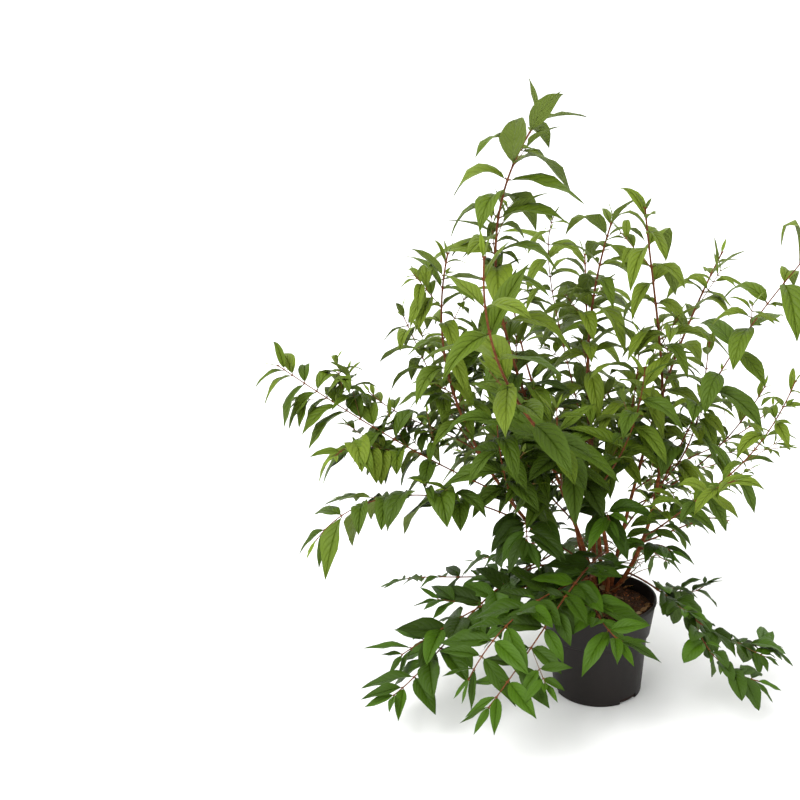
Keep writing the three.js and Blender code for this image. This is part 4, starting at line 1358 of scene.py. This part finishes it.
# %% Leaf tones
# From deep to sunlit the crown's tones are one green in steps of painted shade and painted light.
LEAF_TONES = {
    "deep": colour(45, 61, 11),
    "shaded": colour(57, 76, 15),
    "middle": colour(64, 84, 16),
    "light": colour(78, 97, 20),
    "sunlit": colour(91, 108, 26),
    "young": colour(102, 121, 34),
    "low_deep": colour(38, 56, 6),
    "low_middle": colour(47, 70, 8),
    "low_light": colour(57, 85, 11),
}
UPPER_FINISHES = []
for name in TONES:
    fine = name.startswith(("low", "young"))
    relief, vein_tone = (FINE_RELIEF, FAINT_VEIN) if fine else (VEIN_RELIEF, DARK_VEIN)
    UPPER_FINISHES.append(leaf_finish(f"{name}_leaf", LEAF_TONES[name], relief, vein_tone))
PALE_BACK = leaf_finish("pale_leaf_back", colour(96, 112, 46), -VEIN_RELIEF, vein_tone=1.2, roughness=0.6)
LOW_BACK = leaf_finish("low_leaf_back", colour(72, 92, 42), -VEIN_RELIEF, vein_tone=1.25, roughness=0.6)
LEAF_FINISHES = [*UPPER_FINISHES, PALE_BACK, LOW_BACK]
BACKS = [LEAF_FINISHES.index(LOW_BACK if name.startswith("low") else PALE_BACK) for name in TONES]
print(len(LEAF_FINISHES), "leaf finishes")

# %% Make the leaves
low_nodes = [f"{name}_foliage" for name in STEMS if has_word(name, LOW_WORDS)]
cane_nodes = [f"{name}_foliage" for name in CANES]
shoot_nodes = [f"{name}_foliage" for name in SHOOTS if not has_word(name, LOW_WORDS)]
GROWN = {
    "cane": ("young_leaf", cane_nodes),
    "shoot": ("leaf", shoot_nodes),
    "low": ("low_leaf", low_nodes),
    "twig": ("leaf", shoot_nodes),
}
for kind, (slot, nodes) in GROWN.items():
    settle(make_leaves(f"{kind}_leaves", LEAVES[kind], LEAF_FINISHES, BACKS), slot, *nodes)

# %% [markdown]
# ## Dry twigs and withered leaves
#
# A shrub from a nursery is never quite clean. A few dead twigs stand between the feet of the canes,
# crooked and bare, and some withered leaves lie on the soil. They use the tube and the blade again,
# with random bends and poses, and with a dry, pale finish.

# %% Dry twigs
DRY_SEED = 5
DRY_TWIG_COUNT = 20
DRY_TWIG = {"foot": 1.1, "tip": 0.5, "least": 24, "extra": 46}
DRY_FOOT_SHARE = 0.12
DRY_BEND = 0.16
DRY_TURNS = (-2.6, 0.6)
DRY_RISES = (0.1, 1.6)
DRY_KNOTS = np.arange(0.3, 1, 0.22)
DRY_CANES = ["right", "front", "back_right", "mid", "tall"]
DRY_WOOD = {"sides": 5, "step": 5, "rough": False}
chance = np.random.default_rng(DRY_SEED)


def dry_twig(index):
    """A dead twig from the foot of a cane: a straight line whose two inner controls are thrown aside."""
    cane = STEMS[DRY_CANES[index % len(DRY_CANES)]]
    start = cane["line"].at(chance.uniform(0, DRY_FOOT_SHARE))
    turn = chance.uniform(*DRY_TURNS)
    way = unit(np.array([np.cos(turn), np.sin(turn), chance.uniform(*DRY_RISES)]))
    length = drawn(DRY_TWIG, chance.random())
    bends = chance.uniform(-DRY_BEND, DRY_BEND, (2, 3)) * length
    first = start + way * length / 3 + bends[0]
    second = start + way * length * 2 / 3 + bends[1]
    line = Stem([start, first, second, start + way * length], unit(np.cross(UP, way)))
    knots = [{"share": share} for share in DRY_KNOTS]
    return {"line": line, "foot": DRY_TWIG["foot"], "tip": DRY_TWIG["tip"], "flare": 0, "pairs": knots}


dry_parts = [tube(dry_twig(index), 0, 1, **DRY_WOOD) for index in range(DRY_TWIG_COUNT)]
DRY_BARK = bark_finish("dead_grey_bark", colour(100, 70, 42), colour(134, 104, 68), 0.0002, 0.8)
settle(put_piece("dry_twigs", *join(dry_parts), [DRY_BARK]), "bark")

# %% Withered leaves
WITHERED_COUNT = 26
WITHERED_REACH = 80
WITHERED_LEAF = {"least": 9, "extra": 17, "width": 0.42}
WITHERED_HEIGHTS = (1, 5)
WITHERED_RISES = (-0.1, 0.3)
WITHERED_DROOPS = (-0.4, 0.3)
WITHERED_ROLLS = (-1.2, 1.2)


def withered_poses():
    """Small leaves that lie on the soil: any turn, a little tilt, and a bend up or down."""
    poses = []
    for _ in range(WITHERED_COUNT):
        turn, place = chance.uniform(0, 2 * np.pi, 2)
        radius = WITHERED_REACH * chance.random() ** 0.5
        height = SOIL_LEVEL + chance.uniform(*WITHERED_HEIGHTS)
        root = np.array([radius * np.cos(place), radius * np.sin(place), height])
        along = unit(np.array([np.cos(turn), np.sin(turn), chance.uniform(*WITHERED_RISES)]))
        length = drawn(WITHERED_LEAF, chance.random())
        droop, roll = chance.uniform(*WITHERED_DROOPS), chance.uniform(*WITHERED_ROLLS)
        pose = leaf_pose(root, along, np.zeros(3), 0.0, droop, roll, length, length * WITHERED_LEAF["width"])
        poses.append({**pose, "tone": int(chance.integers(2)), "draw": chance.random()})
    return poses


DRY_FINISHES = [
    leaf_finish("withered_leaf", colour(116, 84, 48)),
    leaf_finish("bleached_leaf", colour(162, 140, 104)),
]
settle(make_leaves("withered_leaves", withered_poses(), DRY_FINISHES, [0, 1]), "bark")

# %% [markdown]
# ## The soil
#
# Potting soil is dark peat with brown bark crumbs and reddish fibres. A bare surface, even a bumpy one,
# looks like cake. So the top is a turned disc raised and sunk by a few waves, and fifteen hundred small
# chips lie in it, each a squashed ball of twenty faces, turned at random and half sunk. The soil in the
# foot of the pot shows only through the notches, and painted shade makes it nearly black there.

# %% Bumps of the soil
# How high each wave is, and how many millimetres it takes for one radian, across and along
BROAD_WAVE = {"height": 1.1, "across": 9, "along": 13, "sway": 1.7}
SLANTING_WAVE = {"height": 0.9, "across": 17, "along": 7}
FINE_WAVE = {"height": 0.5, "across": 3.1, "along": 4.3}


def soil_bumps(x, y):
    """Height of the bumps in millimetres: a broad wave that sways, a slanting one and a fine one."""
    sway = BROAD_WAVE["sway"] * np.sin(y / BROAD_WAVE["along"])
    broad = BROAD_WAVE["height"] * np.sin(x / BROAD_WAVE["across"] + sway)
    slanting = SLANTING_WAVE["height"] * np.sin(y / SLANTING_WAVE["along"] - x / SLANTING_WAVE["across"])
    fine = FINE_WAVE["height"] * np.sin(x / FINE_WAVE["across"] + y / FINE_WAVE["along"])
    return broad + slanting + fine


# %% Soil body
SOIL_EDGE_DROP = 2.5
SOIL_CROWN_RADIUS = 74
SOIL_MIDDLE_RADIUS = 3
SOIL_RINGS = 34
SOIL_SEGMENTS = 96
BUMP_FADE = 12


def soil_edge_radius(height):
    """The inside of the pot's wall at a height, less a hair."""
    collar = [POT_HEIGHT - COLLAR_HEIGHT + COLLAR_STEP, POT_HEIGHT]
    return np.interp(height, collar, [COLLAR_FOOT_RADIUS, COLLAR_TOP_RADIUS]) - POT_WALL - GAP


def make_soil(materials):
    """A turned body that fills the pot, with a fine top that the bumps raise, fading out at the wall."""
    collar_foot = POT_HEIGHT - COLLAR_HEIGHT
    edge = SOIL_LEVEL - SOIL_EDGE_DROP
    edge_radius = float(soil_edge_radius(edge))
    shoulder = edge_radius - SOIL_CROWN_RADIUS
    top_radius = np.linspace(edge_radius, SOIL_MIDDLE_RADIUS, SOIL_RINGS)
    top_height = edge + SOIL_EDGE_DROP * np.minimum(1, (edge_radius - top_radius) / shoulder)
    inside = -POT_WALL - GAP
    profile = np.array(
        [
            [0, FLOOR_THICKNESS + GAP],
            [BASE_RADIUS + inside, FLOOR_THICKNESS + GAP],
            [BODY_TOP_RADIUS + inside, collar_foot],
            [COLLAR_FOOT_RADIUS + inside, collar_foot + COLLAR_STEP],
            *zip(top_radius, top_height),
            [0, SOIL_LEVEL],
        ]
    )
    points, faces = turned(profile, SOIL_SEGMENTS)
    radius = np.hypot(points[:, 0], points[:, 1])
    on_top = points[:, 2] > edge - 1
    share = np.clip((edge_radius - radius) / BUMP_FADE, 0, 1) * on_top
    points[:, 2] += soil_bumps(points[:, 0], points[:, 1]) * share
    settle(put_piece("potting_soil", points, faces, materials), "soil", "soil")


# %% A ball of twenty faces
GOLDEN = (1 + 5**0.5) / 2
LONGEST_EDGE = 1.1


def ball_of_twenty():
    """The twelve corners and twenty faces of a regular solid, on a sphere of radius one."""
    signs = [(a, b) for a in (-1, 1) for b in (-GOLDEN, GOLDEN)]
    corners = [corner for a, b in signs for corner in ([0, a, b], [a, b, 0], [b, 0, a])]
    corners = unit(np.array(corners, float))
    near = np.linalg.norm(corners[:, None] - corners, axis=2) < LONGEST_EDGE
    triples = np.array(list(itertools.combinations(range(len(corners)), 3)))
    a, b, c = triples.T
    faces = triples[near[a, b] & near[b, c] & near[a, c]]
    a, b, c = corners[faces.T]
    inwards = np.sum(np.cross(b - a, c - a) * a, -1) < 0
    return corners, np.where(inwards[:, None], faces[:, [0, 2, 1]], faces)


# %% Soil crumbs
SOIL_SEED = 11
CRUMB_COUNT = 1500
CRUMB_LENGTH = {"least": 1.6, "extra": 5.5, "power": 3}
CRUMB_SLIM = {"least": 0.25, "extra": 0.55}
CRUMB_LUMPS = 0.25
CRUMB_LEVEL = 0.45
CRUMB_BUMP_SHARE = 0.8
CRUMB_MIX = [0.5, 0.32, 0.18]
CRUMB_MARGIN = 4
CRUMB_DROP_WIDTH = 20


def make_crumbs(materials):
    """Chips scattered evenly over the soil: stretched, flattened, turned at random and half sunk."""
    chance = np.random.default_rng(SOIL_SEED)
    corners, faces = ball_of_twenty()
    radius = (float(soil_edge_radius(SOIL_LEVEL)) - CRUMB_MARGIN) * np.sqrt(chance.random(CRUMB_COUNT))
    angle = chance.random(CRUMB_COUNT) * 2 * np.pi
    x, y = radius * np.cos(angle), radius * np.sin(angle)
    drop = SOIL_EDGE_DROP * np.clip((radius - SOIL_CROWN_RADIUS) / CRUMB_DROP_WIDTH, 0, 1)
    centre = np.stack([x, y, SOIL_LEVEL - drop + soil_bumps(x, y) * CRUMB_BUMP_SHARE], -1)
    length = drawn(CRUMB_LENGTH, chance.random(CRUMB_COUNT) ** CRUMB_LENGTH["power"])
    slim = drawn(CRUMB_SLIM, chance.random((CRUMB_COUNT, 2)))
    scale = length[:, None] / 2 * np.column_stack([np.ones(CRUMB_COUNT), slim])
    axes, _ = np.linalg.qr(chance.normal(size=(CRUMB_COUNT, 3, 3)) * [1, 1, CRUMB_LEVEL])
    lumps = 1 + CRUMB_LUMPS * (chance.random((CRUMB_COUNT, len(corners), 1)) - 0.5)
    turn = axes * np.sign(np.linalg.det(axes))[:, None, None]
    points = centre[:, None] + (corners * lumps * scale[:, None]) @ turn.transpose(0, 2, 1)
    tones = np.repeat(chance.choice(len(materials), CRUMB_COUNT, p=CRUMB_MIX), len(faces))
    crumb_faces = copies([faces], CRUMB_COUNT, len(corners))
    settle(put_piece("soil_crumbs", points.reshape(-1, 3), crumb_faces, materials, tones), "soil")


# %% Soil finish
# Painted shade: below this height the soil darkens towards nearly black at the foot of the pot.
SHADED_FOOT_HEIGHT = 0.06
SHADED_FOOT_SHARE = 0.9


def soil_finish(name, first, second):
    """Moist crumbs: two browns in small patches with a coarse grain, and painted shade, nearly black, at the
    foot of the pot.
    """
    material, tree, shader = new_material(name, 0.9, gloss=0.25)
    soil = add_mottle(tree, first, second, patch_scale=220.0, grain_scale=700.0, contrast=3.0)
    place = add_node(tree, "ShaderNodeTexCoord").outputs["Object"]
    height = add_node(tree, "ShaderNodeSeparateXYZ", {"Vector": place}).outputs["Z"]
    # Painted shade that darkens the soil towards the foot of the pot.
    painted_shade_share = add_range(tree, height, (0.0, SHADED_FOOT_HEIGHT), (SHADED_FOOT_SHARE, 0.0))
    painted_shade_colour = colour(12, 9, 7)
    tree.links.new(add_blend(tree, painted_shade_share, soil["Colour"], painted_shade_colour), shader.inputs["Base Color"])
    add_bump(tree, shader, soil["Grain"], distance=0.0012, strength=0.8)
    return material


PEAT = soil_finish("dark_peat", colour(54, 33, 18), colour(78, 49, 27))
CRUMB = soil_finish("brown_bark_crumb", colour(92, 55, 31), colour(120, 76, 44))
FIBRE = soil_finish("red_brown_fibre", colour(138, 78, 46), colour(166, 106, 66))
make_soil([PEAT])
make_crumbs([PEAT, CRUMB, FIBRE])

# %% [markdown]
# ## Floor and light
#
# The plant stands on a plain pale floor under a bright, even sky. One broad, soft sun from above, in
# front and to the left shapes the leaves. Light from all sides keeps the shadows open, as in a studio.

# %% Floor, sky and sun
FLOOR_SIZE = 30000
SKY_STRENGTH = 1.5
SUN = {"towards": (-0.45, -0.55, 1.0), "strength": 2.3, "softness": np.radians(35)}


def add_floor():
    """A pale matte square under the pot, which isn't part of the plant."""
    material, tree, shader = new_material("pale_floor", 0.9)
    shader.inputs["Base Color"].default_value = colour(246, 246, 246)
    corners = np.array([[-1, -1, 0], [1, -1, 0], [1, 1, 0], [-1, 1, 0]]) * FLOOR_SIZE / 2
    put_piece("floor", corners, [np.array([[0, 1, 2, 3]])], [material])


def add_light():
    """A white sky, and one broad soft sun from above, in front and to the left."""
    world = bpy.data.worlds.new("bright_sky")
    world.use_nodes = True
    sky = world.node_tree.nodes["Background"]
    sky.inputs["Color"].default_value = (1.0, 1.0, 1.0, 1.0)
    sky.inputs["Strength"].default_value = SKY_STRENGTH
    bpy.context.scene.world = world
    data = bpy.data.lights.new("soft_sun", "SUN")
    data.energy = SUN["strength"]
    data.angle = SUN["softness"]
    lamp = bpy.data.objects.new("soft_sun", data)
    backwards = unit(np.array(SUN["towards"]))
    right = unit(np.cross(UP, backwards))
    lamp.matrix_world = Matrix([right, np.cross(backwards, right), backwards]).transposed().to_4x4()
    bpy.context.scene.collection.objects.link(lamp)


add_floor()
add_light()
bpy.context.scene.view_settings.view_transform = "Standard"
print("a floor of", round(FLOOR_SIZE * MM), "m, a sky of", SKY_STRENGTH, "and a sun of", SUN["strength"])
